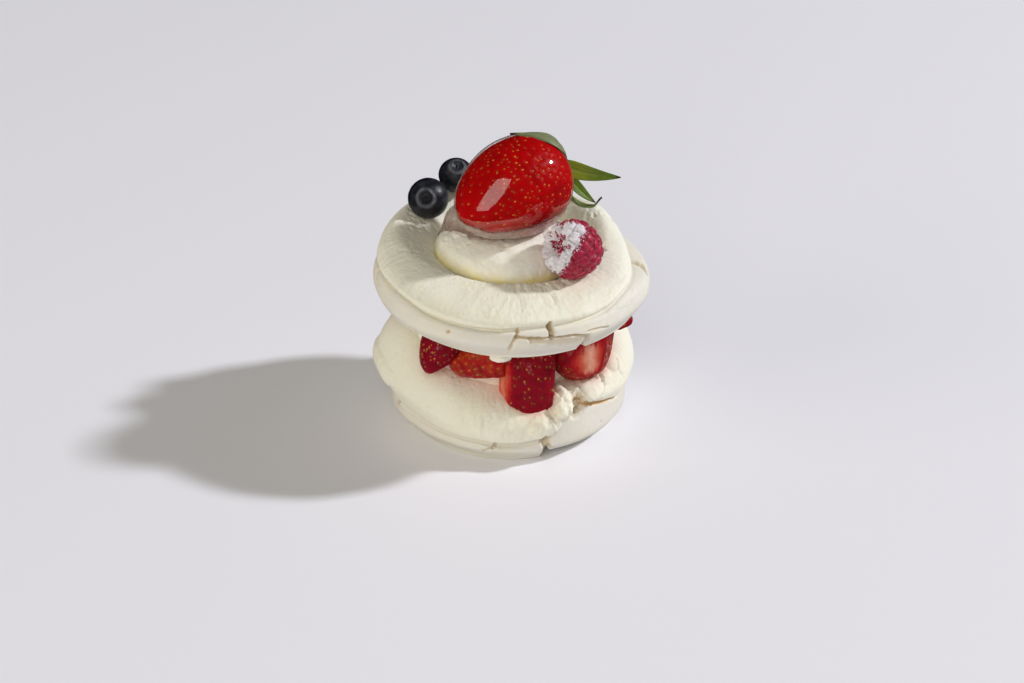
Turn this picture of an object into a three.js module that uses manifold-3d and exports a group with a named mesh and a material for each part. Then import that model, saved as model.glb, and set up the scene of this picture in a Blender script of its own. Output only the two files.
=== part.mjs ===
// A two-tier pavlova: two piped meringue nests with cream and cut strawberries
// between them, and a swirl of cream on top that carries a whole strawberry,
// two blueberries and a raspberry. Millimetres, +Z up. The underside of the lower
// nest lies on z = 0, +X is right of the front and +Y runs to the back.
import * as THREE from "three";
import { mergeVertices } from "three/addons/utils/BufferGeometryUtils.js";
import Module from "manifold-3d";

const wasm = await Module();
wasm.setup();

// ---- Driving dimensions -------------------------------------------------

const GAP = 0.3; // clearance left between pieces that touch
const TURN = 2 * Math.PI;
const UP = [0, 0, 1];

// The nests and the cream are piped by hand, so their sizes change around the
// axis. Each row goes round once, 45 degrees at a time: right, right back, back,
// left back, left, left front, front, right front. Heights count from the
// underside. footWidest is the height at which the foot is widest.
const LOWER = {
  centre: [0, 0],
  underside: 0,
  footEdge: [33.5, 33.5, 33.5, 33.5, 34, 32.5, 34, 33],
  footRadius: [36.6, 36.8, 37, 37, 37, 36.4, 37.6, 37],
  footWidest: 4.5,
  seamRadius: [36.8, 35.6, 35.6, 36.4, 37.6, 36.2, 37.2, 37.2],
  seamHeight: [11.6, 9, 8, 9.4, 10.4, 8.5, 7, 15.4],
  coilRadius: [39.4, 38.4, 38, 40.5, 42.8, 37.8, 38, 38],
  crestRadius: [31, 28, 29, 31, 31.5, 28, 26.5, 27],
  crestHeight: [32, 29, 27, 30, 33, 25, 21, 22.5],
  hollowRadius: 19,
  hollowHeight: 18.5,
};

const UPPER = {
  centre: [1.1, -1],
  underside: 38,
  footEdge: [38.4, 37.5, 37.5, 38.5, 39.5, 35.6, 36.3, 36.8],
  footRadius: [42.4, 42.2, 42, 42.4, 42.6, 42, 42.3, 42.4],
  footWidest: 7,
  seamRadius: [36.4, 36, 37.4, 40.7, 41.4, 40.2, 40.8, 40.4],
  seamHeight: [13.8, 13.6, 13.6, 14.2, 14.4, 13.2, 12.2, 13],
  coilRadius: [35.6, 38, 39, 42.4, 41.4, 40.2, 40.2, 39.8],
  crestRadius: [28.6, 32, 33, 37, 34.4, 27.4, 25.8, 27.2],
  crestHeight: [20.6, 23.2, 24, 23.8, 22.4, 19.4, 18.4, 18.6],
  hollowRadius: 20,
  hollowHeight: 15,
};

const FILLING = {
  bottom: 17.8,
  top: 37.7,
  radius: [30.5, 31, 31, 30.5, 30.5, 28.2, 27.4, 29.6],
};

const SWIRL = {
  centre: [1.1, -1],
  bottom: 52.2,
  edge: 55,
  top: 64.4,
  radius: [21, 22, 23, 24.5, 24, 21, 21.4, 20.6],
  fold: 0.9,
};

// An egg shape: its greatest radius, and how far its tip and its stem end are
// from the middle.
const STRAWBERRY = {
  centre: [2.6, -1.3, 77.6],
  stemWay: [0.76, 0.63, 0.13],
  egg: { radius: 14.6, tip: 22.4, stem: 16.6 },
};

// The leaves of the calyx: the tip of each, the place that it bends towards on
// the way, the direction that it faces, and its width.
const CALYX = {
  radius: 4.6,
  thickness: 1.4,
  leafThickness: 0.8,
  leaves: [
    { bend: [22.5, 8.4, 76.4], tip: [34.6, 7.6, 76.2], facing: [0.1, -0.8, 0.5], width: 5.4 },
    { bend: [20.4, 9.4, 71.4], tip: [26.8, 8.8, 67], facing: [0.3, -0.7, 0.6], width: 3.8 },
    { bend: [18, 9, 62], tip: [28.8, 7.4, 67.4], facing: [0, 0.2, 0.95], width: 4 },
    { bend: [18.8, 2.2, 95], tip: [0.2, 5, 91.6], facing: [0.4, 0.05, 0.88], width: 7.6 },
    { bend: [8, 20, 81], tip: [-1, 19, 77], facing: [-0.1, 0.95, 0.3], width: 5 },
    { bend: [14, 18, 72], tip: [11, 22, 67.4], facing: [0.2, 0.9, -0.1], width: 4.6 },
  ],
};

// Cut strawberries between the nests, from the left front to the right front:
// the middle of each, the way its stem end points, its egg shape, and its flats,
// cut or pressed, as [outward direction, distance from the middle].
const FRONT_SLICES = [
  {
    centre: [-20.4, -20.2, 32.8],
    stemWay: [0.4, 0.25, 0.85],
    egg: { radius: 6.8, tip: 10.2, stem: 9 },
    flats: [
      [[0.3, 0.95, 0], 2.5],
      [UP, 4.7],
      [[0.5, -0.2, -0.8], 5.4],
      [[1, 0.3, 0], 4.6],
    ],
  },
  {
    centre: [-6.6, -23.2, 30.8],
    stemWay: [0.95, -0.1, 0.2],
    egg: { radius: 8, tip: 13.4, stem: 12 },
    flats: [
      [[-0.62, -0.2, 0.75], 7],
      [[0, 1, 0.2], 3],
      [[0.06, -0.3, -1], 6.2],
      [[0.96, -0.2, 0], 6.8],
      [[-0.93, -0.3, -0.2], 11.4],
    ],
  },
  {
    centre: [5.4, -20.4, 26],
    stemWay: [0, 0, -1],
    egg: { radius: 14.4, tip: 19, stem: 34 },
    flats: [
      [[-0.06, -0.7, 0.72], 13.4],
      [[1, 0.05, -0.06], 8],
      [[-0.87, -0.5, 0.06], 10.5],
      [[-1, 0, 0], 8.4],
      [[-0.36, 0.1, -1], 7.5],
      [[0, 1, 0], 4],
      [UP, 11.6],
    ],
  },
  {
    centre: [20.9, -16.8, 29.8],
    stemWay: [0.1, 0.1, 0.95],
    egg: { radius: 11.8, tip: 10, stem: 13 },
    flats: [
      [[0.93, -0.3, -0.1], 9.8],
      [[0.4, -0.91, -0.06], 9.4],
      [UP, 7.8],
      [[-0.4, 0.9, 0], 3],
    ],
  },
];

// The rest follow round the right, the back and the left. The first and the last
// are thin ends that peep out under the upper nest. inside is how far the flat on
// the inner side is from the middle.
const RING_SLICES = {
  angles: [-16, 22, 58, 94, 130, 173],
  distance: 27,
  peepDistance: 28.2,
  top: 37.5,
  thickness: 9.5,
  peepThickness: 2.6,
  inside: 4,
  egg: { radius: 8.4, tip: 11.4, stem: 7.4 },
};

const BLUEBERRIES = [
  { radius: 6.4, centre: [-25.2, 15.6, 65.2], crownWay: [-0.1, -0.88, 0.46] },
  { radius: 5.6, centre: [-16.7, 27.2, 67.7], crownWay: [0.1, -0.5, 0.86] },
];

const RASPBERRY = {
  centre: [19.1, -18.4, 64.8],
  openWay: [-0.87, -0.285, 0.39],
  radius: 9.3,
  tip: 10,
  open: 8.4,
  holeRadius: 4,
  holeDepth: 6,
  drupelets: 76,
};

// How finely the pieces are faceted.
const NEST_TURNS = 32;
const NEST_SAMPLES = 18;
const CREAM_TURNS = 22;
const CREAM_SAMPLES = 11;

// ---- Shape helpers ------------------------------------------------------

// A size at any angle, eased smoothly through the eight sizes of a row.
function around(row, theta) {
  const n = row.length;
  const place = ((((theta / TURN) * n) % n) + n) % n;
  const i = Math.floor(place);
  const t = place - i;
  const [a, b, c, d] = [-1, 0, 1, 2].map((k) => row[(i + k + n) % n]);
  const blend = t * t * (3 - 2 * t);
  const leave = (t * (1 - t) * (1 - t) * (c - a)) / 2;
  const arrive = (t * t * (t - 1) * (d - b)) / 2;
  return b + (c - b) * blend + leave + arrive;
}

function indexed(place, index) {
  const g = new THREE.BufferGeometry();
  g.setAttribute("position", new THREE.Float32BufferAttribute(place, 3));
  g.setIndex(index);
  return g;
}

// A closed skin round the Z axis. section(theta) gives its outline from the
// bottom pole, out and over, to the top pole, as [radius, height]; a smooth curve
// runs through those points, and no point of it falls below the floor.
function turned(section, turns, samples, floor) {
  const rows = [];
  for (let i = 0; i < turns; i++) {
    const points = section((TURN * i) / turns).map(([r, z]) => new THREE.Vector2(r, z));
    rows.push(new THREE.SplineCurve(points).getPoints(samples));
  }
  const place = [0, 0, rows[0][0].y, 0, 0, rows[0][samples].y];
  const index = [];
  const at = (i, j) => 2 + (i % turns) * (samples - 1) + (j - 1);
  rows.forEach((row, i) => {
    const theta = (TURN * i) / turns;
    for (let j = 1; j < samples; j++) {
      const z = Math.max(row[j].y, floor);
      place.push(row[j].x * Math.cos(theta), row[j].x * Math.sin(theta), z);
    }
    index.push(0, at(i + 1, 1), at(i, 1));
    index.push(1, at(i, samples - 1), at(i + 1, samples - 1));
    for (let j = 1; j < samples - 1; j++) {
      index.push(at(i, j), at(i + 1, j), at(i + 1, j + 1));
      index.push(at(i, j), at(i + 1, j + 1), at(i, j + 1));
    }
  });
  return indexed(place, index);
}

// Only places and faces, with the vertices that meet made one.
function merged(geometry) {
  const g = geometry.clone();
  g.deleteAttribute("normal");
  g.deleteAttribute("uv");
  return mergeVertices(g, 1e-4);
}

// A ball whose reach from its middle is given for each direction.
function ball(reach, detail) {
  const g = merged(new THREE.IcosahedronGeometry(1, detail));
  const p = g.attributes.position;
  const d = new THREE.Vector3();
  for (let i = 0; i < p.count; i++) {
    d.fromBufferAttribute(p, i).normalize();
    d.multiplyScalar(reach(d));
    p.setXYZ(i, d.x, d.y, d.z);
  }
  return g;
}

function unit(way) {
  return new THREE.Vector3(...way).normalize();
}

// Turns a geometry from its own +Z to a direction, and moves it to a place.
function posed(geometry, centre, way) {
  const turn = new THREE.Quaternion().setFromUnitVectors(unit(UP), unit(way));
  const size = new THREE.Vector3(1, 1, 1);
  const matrix = new THREE.Matrix4().compose(new THREE.Vector3(...centre), turn, size);
  return geometry.clone().applyMatrix4(matrix);
}

function toSolid(geometry) {
  const g = merged(geometry);
  return new wasm.Manifold(
    new wasm.Mesh({
      numProp: 3,
      vertProperties: g.attributes.position.array,
      triVerts: new Uint32Array(g.index.array),
    }),
  );
}

function toGeometry(solid) {
  const mesh = solid.getMesh();
  return indexed(Array.from(mesh.vertProperties), Array.from(mesh.triVerts));
}

// The same skin, moved out along its normals.
function grown(geometry, by) {
  const g = merged(geometry);
  g.computeVertexNormals();
  const p = g.attributes.position;
  const n = g.attributes.normal;
  for (let i = 0; i < p.count; i++) {
    const x = p.getX(i) + by * n.getX(i);
    const y = p.getY(i) + by * n.getY(i);
    p.setXYZ(i, x, y, p.getZ(i) + by * n.getZ(i));
  }
  g.deleteAttribute("normal");
  return g;
}

// What is left of a piece, as one body, once its neighbours have their room.
function makeRoom(geometry, neighbours) {
  let solid = toSolid(geometry);
  for (const other of neighbours) solid = solid.subtract(toSolid(grown(other, GAP)));
  const bodies = solid.decompose();
  bodies.sort((a, b) => b.volume() - a.volume());
  return toGeometry(bodies[0]);
}

// ---- Meringue and cream -------------------------------------------------

// The section of a nest at one angle: foot, seam, coil, crest and hollow.
function nestSection(nest, theta) {
  const size = (name) => around(nest[name], theta);
  const foot = size("footRadius");
  const edge = size("footEdge");
  const seam = size("seamRadius");
  const coil = size("coilRadius");
  const crest = size("crestRadius");
  const base = nest.underside;
  const widest = base + nest.footWidest;
  const seamZ = base + size("seamHeight");
  const crestZ = base + size("crestHeight");
  const hollowZ = base + nest.hollowHeight;
  const rise = crestZ - seamZ;
  return [
    [0, base],
    [edge * 0.5, base],
    [edge - 2, base],
    [edge + 0.4, base + 0.9],
    [foot, widest],
    [foot * 0.8 + seam * 0.2 + 0.2, widest + (seamZ - widest) * 0.7],
    [seam, seamZ],
    [coil, seamZ + rise * 0.36],
    [coil * 0.68 + crest * 0.32, seamZ + rise * 0.76],
    [crest, crestZ],
    [(crest + nest.hollowRadius) / 2, (crestZ + hollowZ) / 2 + 0.8],
    [nest.hollowRadius, hollowZ],
    [nest.hollowRadius * 0.5, hollowZ - 1],
    [0, hollowZ - 1],
  ];
}

function pipedNest(nest) {
  const section = (theta) => nestSection(nest, theta);
  const g = turned(section, NEST_TURNS, NEST_SAMPLES, nest.underside);
  g.translate(...nest.centre, 0);
  return g;
}

function creamFilling() {
  const { bottom, top } = FILLING;
  const section = (theta) => {
    const r = around(FILLING.radius, theta);
    return [
      [0, bottom],
      [r * 0.6, bottom],
      [r - 3, bottom + 2],
      [r - 0.5, bottom + 6],
      [r, bottom + 11],
      [r - 0.8, top - 3],
      [r - 3, top],
      [r * 0.5, top],
      [0, top],
    ];
  };
  return turned(section, CREAM_TURNS, CREAM_SAMPLES, bottom);
}

// A low dome with one fold that winds in from its edge to its top.
function creamSwirl() {
  const { bottom, edge, top, fold } = SWIRL;
  const section = (theta) => {
    const r = around(SWIRL.radius, theta);
    const wave = (share) => fold * Math.sin(theta + share * TURN * 0.8);
    return [
      [0, bottom],
      [r * 0.6, bottom],
      [r - 1.5, bottom + 0.7],
      [r, edge],
      [r * 0.86, edge + 3 + wave(0.86) * 0.4],
      [r * 0.6, edge + 6.4 + wave(0.6) * 0.8],
      [r * 0.3, top - 1.2 + wave(0.3) * 0.5],
      [0, top],
    ];
  };
  const g = turned(section, CREAM_TURNS, CREAM_SAMPLES, bottom);
  g.translate(...SWIRL.centre, 0);
  return g;
}

// ---- Fruit --------------------------------------------------------------

// How far a strawberry's skin is from its middle along a direction: an egg with
// a pointed tip on its -Z side and a blunt stem end on its +Z side.
function eggReach({ radius, tip, stem }, d) {
  const reach = d.z < 0 ? tip : stem;
  const power = d.z < 0 ? 1.75 : 2.5;
  const across = Math.hypot(d.x, d.y) / radius;
  return (across ** power + Math.abs(d.z / reach) ** power) ** (-1 / power);
}

// A strawberry trimmed by flats, whose edges come out a little rounded.
function strawberrySlice({ centre, stemWay, egg, flats }, detail = 2) {
  const sharpness = 18;
  const toOwn = new THREE.Quaternion().setFromUnitVectors(unit(stemWay), unit(UP));
  const knives = flats.map(([way, distance]) => ({
    normal: unit(way).applyQuaternion(toOwn),
    distance,
  }));
  const reach = (d) => {
    let sum = eggReach(egg, d) ** -sharpness;
    for (const { normal, distance } of knives) {
      const facing = d.dot(normal);
      if (facing > 0) sum += (distance / facing) ** -sharpness;
    }
    return sum ** (-1 / sharpness);
  };
  return posed(ball(reach, detail), centre, stemWay);
}

// The sizes of the pocket that a slice presses into the cream, a little larger.
function pocketOf({ centre, stemWay, egg, flats }) {
  const larger = 1.5;
  return {
    centre,
    stemWay,
    egg: { radius: egg.radius + larger, tip: egg.tip + larger, stem: egg.stem + larger },
    flats: flats.map(([way, distance]) => [way, distance + larger]),
  };
}

// One of the slices round the right, back and left: it points outwards or lies
// along the edge, with its cut sides up and inwards.
function ringSlice(angle, i) {
  const { angles, distance, peepDistance, top, inside, egg } = RING_SLICES;
  const theta = THREE.MathUtils.degToRad(angle);
  const out = [Math.cos(theta), Math.sin(theta), 0];
  const inward = out.map((x) => -x);
  const along = [-out[1], out[0], 0];
  const peeps = i === 0 || i === angles.length - 1;
  const pointsOut = peeps || i % 2 === 0;
  const far = peeps ? peepDistance : distance;
  const half = (peeps ? RING_SLICES.peepThickness : RING_SLICES.thickness) / 2;
  return {
    centre: [out[0] * far, out[1] * far, top - half],
    stemWay: pointsOut ? inward : along,
    egg,
    flats: [
      [UP, half],
      [[0, 0, -1], half],
      [inward, inside],
    ],
  };
}

// A blueberry: a slightly flat ball with the ring of its crown round a dimple.
function blueberry({ radius, centre, crownWay }) {
  const reach = (d) => {
    const angle = Math.acos(THREE.MathUtils.clamp(d.z, -1, 1));
    const rim = 0.045 * Math.exp(-(((angle - 0.36) / 0.12) ** 2));
    const dimple = 0.12 * Math.exp(-((angle / 0.24) ** 2));
    return radius * (1 - 0.05 * d.z * d.z + rim - dimple);
  };
  return posed(ball(reach, 3), centre, crownWay);
}

// A raspberry: round drupelets set on a spiral over a blunt cone, with the hole
// that the core left at its open end, which is its own +Z.
function raspberry() {
  const { radius, tip, open, holeRadius, holeDepth, drupelets } = RASPBERRY;
  const golden = Math.PI * (3 - Math.sqrt(5));
  const beads = [];
  for (let i = 0; i < drupelets; i++) {
    const z = 1 - (2 * (i + 0.5)) / drupelets;
    const r = Math.sqrt(1 - z * z);
    beads.push(new THREE.Vector3(r * Math.cos(golden * i), r * Math.sin(golden * i), z));
  }
  const beadAngle = Math.sqrt(4 / drupelets);
  const reach = (d) => {
    const body = eggReach({ radius, tip, stem: open }, d);
    const nearest = Math.min(...beads.map((b) => b.angleTo(d)));
    const bumpy = body * (1 - 0.11 * Math.min(nearest / beadAngle, 1) ** 2);
    const away = Math.hypot(d.x, d.y) * bumpy;
    const inHole = d.z > 0 ? Math.max(1 - (away / holeRadius) ** 4, 0) : 0;
    return bumpy - holeDepth * inHole;
  };
  return posed(ball(reach, 5), RASPBERRY.centre, RASPBERRY.openWay);
}

// A pointed leaf along a bent line: a thin lens in section, closed at both ends.
function leaf(root, { bend, tip, facing, width }) {
  const steps = 5;
  const sides = 4;
  const line = new THREE.QuadraticBezierCurve3(
    new THREE.Vector3(...root),
    new THREE.Vector3(...bend),
    new THREE.Vector3(...tip),
  );
  const place = [...line.getPoint(0).toArray(), ...line.getPoint(1).toArray()];
  const index = [];
  const at = (i, j) => 2 + (i - 1) * sides + (j % sides);
  for (let i = 1; i < steps; i++) {
    const t = i / steps;
    const middle = line.getPoint(t);
    const ahead = line.getTangent(t);
    const side = new THREE.Vector3().crossVectors(ahead, unit(facing)).normalize();
    const face = new THREE.Vector3().crossVectors(side, ahead).normalize();
    const half = (width / 2) * Math.sin(Math.PI * t ** 0.75) ** 0.8;
    for (let j = 0; j < sides; j++) {
      const turn = (TURN * j) / sides;
      const p = middle.clone().addScaledVector(side, half * Math.cos(turn));
      p.addScaledVector(face, (CALYX.leafThickness / 2) * Math.sin(turn));
      place.push(...p.toArray());
    }
  }
  for (let j = 0; j < sides; j++) {
    index.push(0, at(1, j), at(1, j + 1));
    index.push(1, at(steps - 1, j + 1), at(steps - 1, j));
    for (let i = 1; i < steps - 1; i++) {
      index.push(at(i, j), at(i + 1, j), at(i + 1, j + 1));
      index.push(at(i, j), at(i + 1, j + 1), at(i, j + 1));
    }
  }
  return indexed(place, index);
}

function calyx() {
  const { centre, stemWay, egg } = STRAWBERRY;
  const way = unit(stemWay);
  const root = new THREE.Vector3(...centre).addScaledVector(way, egg.stem + GAP);
  const cap = ball(() => 1, 1);
  cap.scale(CALYX.radius, CALYX.radius, CALYX.thickness);
  let solid = toSolid(posed(cap, root.toArray(), stemWay));
  for (const one of CALYX.leaves) solid = solid.add(toSolid(leaf(root.toArray(), one)));
  return toGeometry(solid);
}

// ---- The model ----------------------------------------------------------

const group = new THREE.Group();

function add(name, geometry, color, roughness) {
  const g = geometry.clone();
  g.computeVertexNormals();
  const look = new THREE.MeshStandardMaterial({ color, roughness, metalness: 0 });
  const mesh = new THREE.Mesh(g, look);
  mesh.name = name;
  group.add(mesh);
}

const MERINGUE = [0xece7d6, 0.7];
const CREAM = [0xf3edd9, 0.45];
const STRAWBERRY_SKIN = [0xb50f14, 0.2];
const LEAF = [0x5f8a1e, 0.5];
const BLUEBERRY_SKIN = [0x1b1d26, 0.45];
const RASPBERRY_SKIN = [0x9c1136, 0.35];

const lower = pipedNest(LOWER);
const upper = pipedNest(UPPER);
add("meringue_lower", lower, ...MERINGUE);
add("meringue_upper", upper, ...MERINGUE);

const sliceSizes = [...FRONT_SLICES, ...RING_SLICES.angles.map(ringSlice)];
const slices = [];
sliceSizes.forEach((sizes, i) => {
  const beside = i === sliceSizes.length - 1 ? [slices[i - 1], slices[0]] : slices.slice(-1);
  slices.push(makeRoom(strawberrySlice(sizes), [lower, upper, ...beside]));
});
slices.forEach((g, i) => add("strawberry_slice_" + (i + 1), g, ...STRAWBERRY_SKIN));
const pockets = sliceSizes.map((sizes) => strawberrySlice(pocketOf(sizes), 1));
add("cream_filling", makeRoom(creamFilling(), [lower, upper, ...pockets]), ...CREAM);

const berry = posed(
  ball((d) => eggReach(STRAWBERRY.egg, d), 4),
  STRAWBERRY.centre,
  STRAWBERRY.stemWay,
);
const blueberries = BLUEBERRIES.map((sizes) => makeRoom(blueberry(sizes), [upper, berry]));
const raspberryShape = makeRoom(raspberry(), [upper]);
const swirl = makeRoom(creamSwirl(), [upper, berry, raspberryShape, ...blueberries]);
add("cream_swirl", swirl, ...CREAM);
add("strawberry_whole", berry, ...STRAWBERRY_SKIN);
add("strawberry_calyx", makeRoom(calyx(), [berry, upper, swirl]), ...LEAF);
blueberries.forEach((g, i) => add("blueberry_" + (i + 1), g, ...BLUEBERRY_SKIN));
add("raspberry", raspberryShape, ...RASPBERRY_SKIN);

export default group;
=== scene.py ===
"""A two-tier pavlova: the looks of its meringue, cream and fruit.

Every size below is in millimetres unless its name or unit says otherwise. The object's own
frame is kept: +Z up, -Y out of the front, the origin on the underside of the lower nest.
"""

import math

import bpy
import numpy as np
from bpy.props import FloatProperty, FloatVectorProperty, IntProperty, PointerProperty
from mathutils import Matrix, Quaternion, Vector


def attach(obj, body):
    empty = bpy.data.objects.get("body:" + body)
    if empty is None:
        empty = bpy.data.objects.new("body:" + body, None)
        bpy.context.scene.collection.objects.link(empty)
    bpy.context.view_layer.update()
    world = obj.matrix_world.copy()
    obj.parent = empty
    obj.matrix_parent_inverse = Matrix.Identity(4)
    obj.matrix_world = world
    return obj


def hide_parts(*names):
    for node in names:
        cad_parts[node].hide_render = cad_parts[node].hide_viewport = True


bl_info = {
    "name": "Pavlova",
    "version": (1, 0, 0),
    "blender": (4, 5, 0),
    "location": "View3D > Sidebar > Pavlova",
    "description": "Builds a two-tier meringue pavlova with cream and berries",
    "category": "Add Mesh",
}

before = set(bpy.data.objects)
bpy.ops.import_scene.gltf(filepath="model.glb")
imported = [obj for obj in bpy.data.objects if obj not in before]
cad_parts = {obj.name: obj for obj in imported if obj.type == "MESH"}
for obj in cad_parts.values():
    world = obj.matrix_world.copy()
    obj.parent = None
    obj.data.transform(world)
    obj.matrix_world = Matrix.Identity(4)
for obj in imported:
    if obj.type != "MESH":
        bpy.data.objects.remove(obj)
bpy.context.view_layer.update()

MM = 0.001
TAU = 2 * math.pi
GOLDEN_TURN = math.pi * (3 - math.sqrt(5))
# The radius at which the side of a nest is measured along its way round.
UNROLLED = 39

# ---- Sizes of the piped nests -------------------------------------------
# Each row goes round once, 45 degrees at a time, from the right through the back. Heights
# are from the nest's own underside, but those of cracks and lobes are from the floor.
# A crack is (width, depth, how beige, how browned, places along it as (angle, height)).
# A lobe is (angle, height, half its width, half its height, how far it stands out, how
# crumbly it is).

LOWER = {
    "centre": (0, 0),
    "underside": 0,
    "footEdge": (33.5, 33.5, 33.5, 33.5, 34, 32.5, 34, 33),
    "footRadius": (36.6, 36.8, 37, 37, 37, 36.4, 37.6, 37),
    "footWidest": 4.5,
    "seamRadius": (36.8, 35.6, 35.6, 36.4, 37.6, 36.2, 37.2, 37.2),
    "coilRadius": (39.4, 38.4, 38, 40.5, 41.6, 37.8, 38, 38),
    "crestRadius": (31, 28, 29, 31, 31.5, 28, 26.5, 27),
    "crestHeight": (32, 29, 27, 30, 33, 25, 21, 22.5),
    "hollowRadius": 19,
    "hollowHeight": 18.5,
    # the seam as (angle, height): it climbs where the end of the coil broke off
    "seam": (
        (-160, 10), (-154, 9.2), (-142, 8.9), (-127, 8.1), (-115, 8), (-104, 7.8), (-94, 6.9),
        (-85, 7.1), (-78, 7.9), (-73, 8.8), (-68.4, 10.2), (-66.8, 12.2), (-65.6, 14.4),
        (-62, 15.4), (-58, 15.6), (-52.4, 15.6), (-51.2, 16.9), (-46, 15.6), (-39, 14.3),
        (-33, 13.5), (-27, 12.3), (0, 11.6), (45, 9), (90, 8), (135, 9.4), (180, 10.4),
    ),
    "cracks": (
        (1.1, 0.8, 0.5, 0, ((-101.6, 4.5), (-99, 5.7), (-96.4, 6.8))),
        (3.2, 1.5, 0.85, 0, ((-72.6, 9), (-72, 6.4), (-71, 3), (-70.2, -1))),
        (5.2, 3, 0.9, 0, ((-56.8, 15.8), (-54.8, 16.6), (-54.2, 18))),
        (1.6, 0.35, 0.5, 0.9, ((-54.6, 19.6), (-53.1, 18.4), (-51.3, 16.9), (-46, 15.5))),
        (1.4, 0.3, 0.5, 0.8, ((-46, 15.5), (-39, 14.1), (-33.3, 13.4))),
        (1.0, 0.2, 0.4, 0.4, ((-33.3, 13.4), (-26.9, 12.1))),
        (0.9, 0.9, 0.1, 0, ((-35.4, 21.8), (-37.2, 19.7), (-43, 17.8), (-46, 16.4))),
        (0.7, 0.5, 0.1, 0, ((-22, 24), (-25, 21.5), (-24, 19.5))),
        (0.7, 0.35, 0, 0, ((-71, 18), (-69.8, 16.6), (-68.3, 14.4), (-67.4, 11.6))),
        (0.7, 0.5, 0.9, 0.3, ((-40, 7.2), (-39.5, 7.5))),
        (0.8, 0.7, 0.4, 0, ((64, 1.5), (66, 5), (63, 8.6))),
        (0.9, 0.8, 0.5, 0, ((143, 3), (149, 5.4), (156, 6.2), (160, 8.4))),
        (1.3, 1.2, 0.7, 0, ((196, 5), (199, 6.6), (201.5, 9))),
    ),
    "lobes": (
        (-74, 12.6, 5, 4, 1.5, 0.6),
        (-67, 13.8, 1.9, 2.8, 0.9, 0.3),
        (-64.6, 18.2, 1.8, 3, 0.7, 1),
        (-62.2, 18.6, 3.3, 5.2, 1.2, 1),
        (-59.6, 20.6, 2.6, 2.2, 1.4, 1),
        (-43.2, 19.7, 4.6, 2.7, 1.9, 0.15),
        (-34, 22.2, 3, 2.6, 0.9, 0.3),
        (-25, 24.4, 3.4, 3.2, 0.9, 0.2),
        (-176, 17.6, 15, 4.8, 1.3, 0),
    ),
    # where the coil runs into the foot without a crease, as (angle, half its width)
    "merged": (-61.6, 3.2),
    # how far the foot's edge is off the floor, as (angle, lift)
    "lift": ((-71.6, 0), (-71.4, 1.7), (-64, 1.5), (-50, 0.8), (-34, 0), (288, 0)),
    "wrinkled": (-104, 26),
}

UPPER = {
    "centre": (1.1, -1),
    "underside": 38,
    "footEdge": (38.4, 37.5, 37.5, 38.5, 39.5, 35.6, 36.3, 36.8),
    "footRadius": (42.4, 42.2, 42, 42.4, 42.6, 42, 42.3, 42.4),
    "footWidest": 7,
    "seamRadius": (36.4, 36, 37.4, 40.7, 41.4, 40.2, 40.8, 40.4),
    "coilRadius": (35.6, 38, 39, 42.4, 41.4, 40.2, 40.2, 39.8),
    "crestRadius": (28.6, 32, 33, 37, 34.4, 27.4, 25.8, 27.2),
    "crestHeight": (20.6, 23.2, 24, 23.8, 22.4, 19.4, 18.4, 18.6),
    "hollowRadius": 20,
    "hollowHeight": 15,
    "seam": (
        (-158, 14.6), (-149, 14.3), (-142, 14), (-136, 13.3), (-129, 12.5), (-118, 12),
        (-104, 11.7), (-95, 11.9), (-89, 12.3), (-82, 12.7), (-62, 12.6), (-54, 12.6),
        (-47, 12.8), (-41, 13.5), (-34, 14.4), (-23, 14.6), (-9, 13.8), (0, 13.8), (45, 13.6),
        (90, 13.6), (135, 14.2), (180, 14.4),
    ),
    "cracks": (
        (0.9, 1.2, 0.9, 0, ((-88.6, 48.5), (-82.9, 47.9), (-76.8, 47.5), (-70.6, 47.2))),
        (0.9, 1.2, 0.9, 0, ((-70.6, 47.2), (-64.1, 46.9), (-58.6, 45.6))),
        (2.6, 0.55, 0.62, 0, ((-82, 47), (-76.7, 46.3), (-70, 45.4), (-61.5, 44.6))),
        (0.9, 0.9, 0.8, 0, ((-88, 50), (-88.9, 48.3), (-90.2, 46.6), (-91.2, 43.4))),
        (1.9, 2.2, 1, 0, ((-74, 51), (-74, 49), (-73.6, 47.2))),
        (1.3, 2.2, 0.8, 0, ((-58.4, 45.6), (-57.4, 43))),
        (2.6, 3.4, 0.7, 0, ((-57.2, 42.6), (-56.2, 40), (-55.6, 37.4))),
        (0.7, 0.5, 0.5, 0, ((-58.1, 47.2), (-52.1, 46.8), (-48, 46))),
        (1.5, 1.2, 0.7, 0, ((1.4, 51.4), (-2.6, 50.2), (-6.5, 49.4))),
        (1.8, 1.1, 0.9, 0, ((-171.4, 51.6), (-169.6, 50.4), (-167.4, 49.4))),
        (0.8, 0.6, 1, 0.4, ((-116.9, 47.6), (-116.6, 47.9))),
        (0.7, 0.5, 0.9, 0.2, ((-134.5, 44.2), (-134.2, 44.5))),
        (0.8, 0.8, 0.5, 0, ((52, 51), (50, 47.6), (53, 44.4))),
        (0.8, 0.9, 0.6, 0, ((96, 46.6), (104, 45.8), (113, 46.8), (119, 46))),
        (1.3, 1.4, 0.9, 0, ((112, 51.4), (112.6, 48.8), (111.8, 46.6))),
    ),
    "lobes": (
        (-67, 42, 9, 3, 0.3, 0.2),
        (38, 59, 6, 3.4, 0.6, 0.5),
        (-32, 52, 10, 3, 0.3, 0.2),
    ),
    "merged": (150, 3),
    "lift": ((0, 0), (180, 0)),
    "wrinkled": (-75, 34),
}

# How many places the outline of a nest has between each two of its fourteen points.
OUTLINE_STEPS = (2, 3, 4, 6, 22, 18, 24, 24, 22, 20, 9, 3, 2)
# How much closer together the places are at the front than on average.
FRONT_DETAIL = 0.36

FILLING = {
    "bottom": 17.8,
    "top": 37.7,
    "radius": (30.5, 31, 31, 30.5, 30.5, 28.2, 27.4, 29.6),
}

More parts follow.
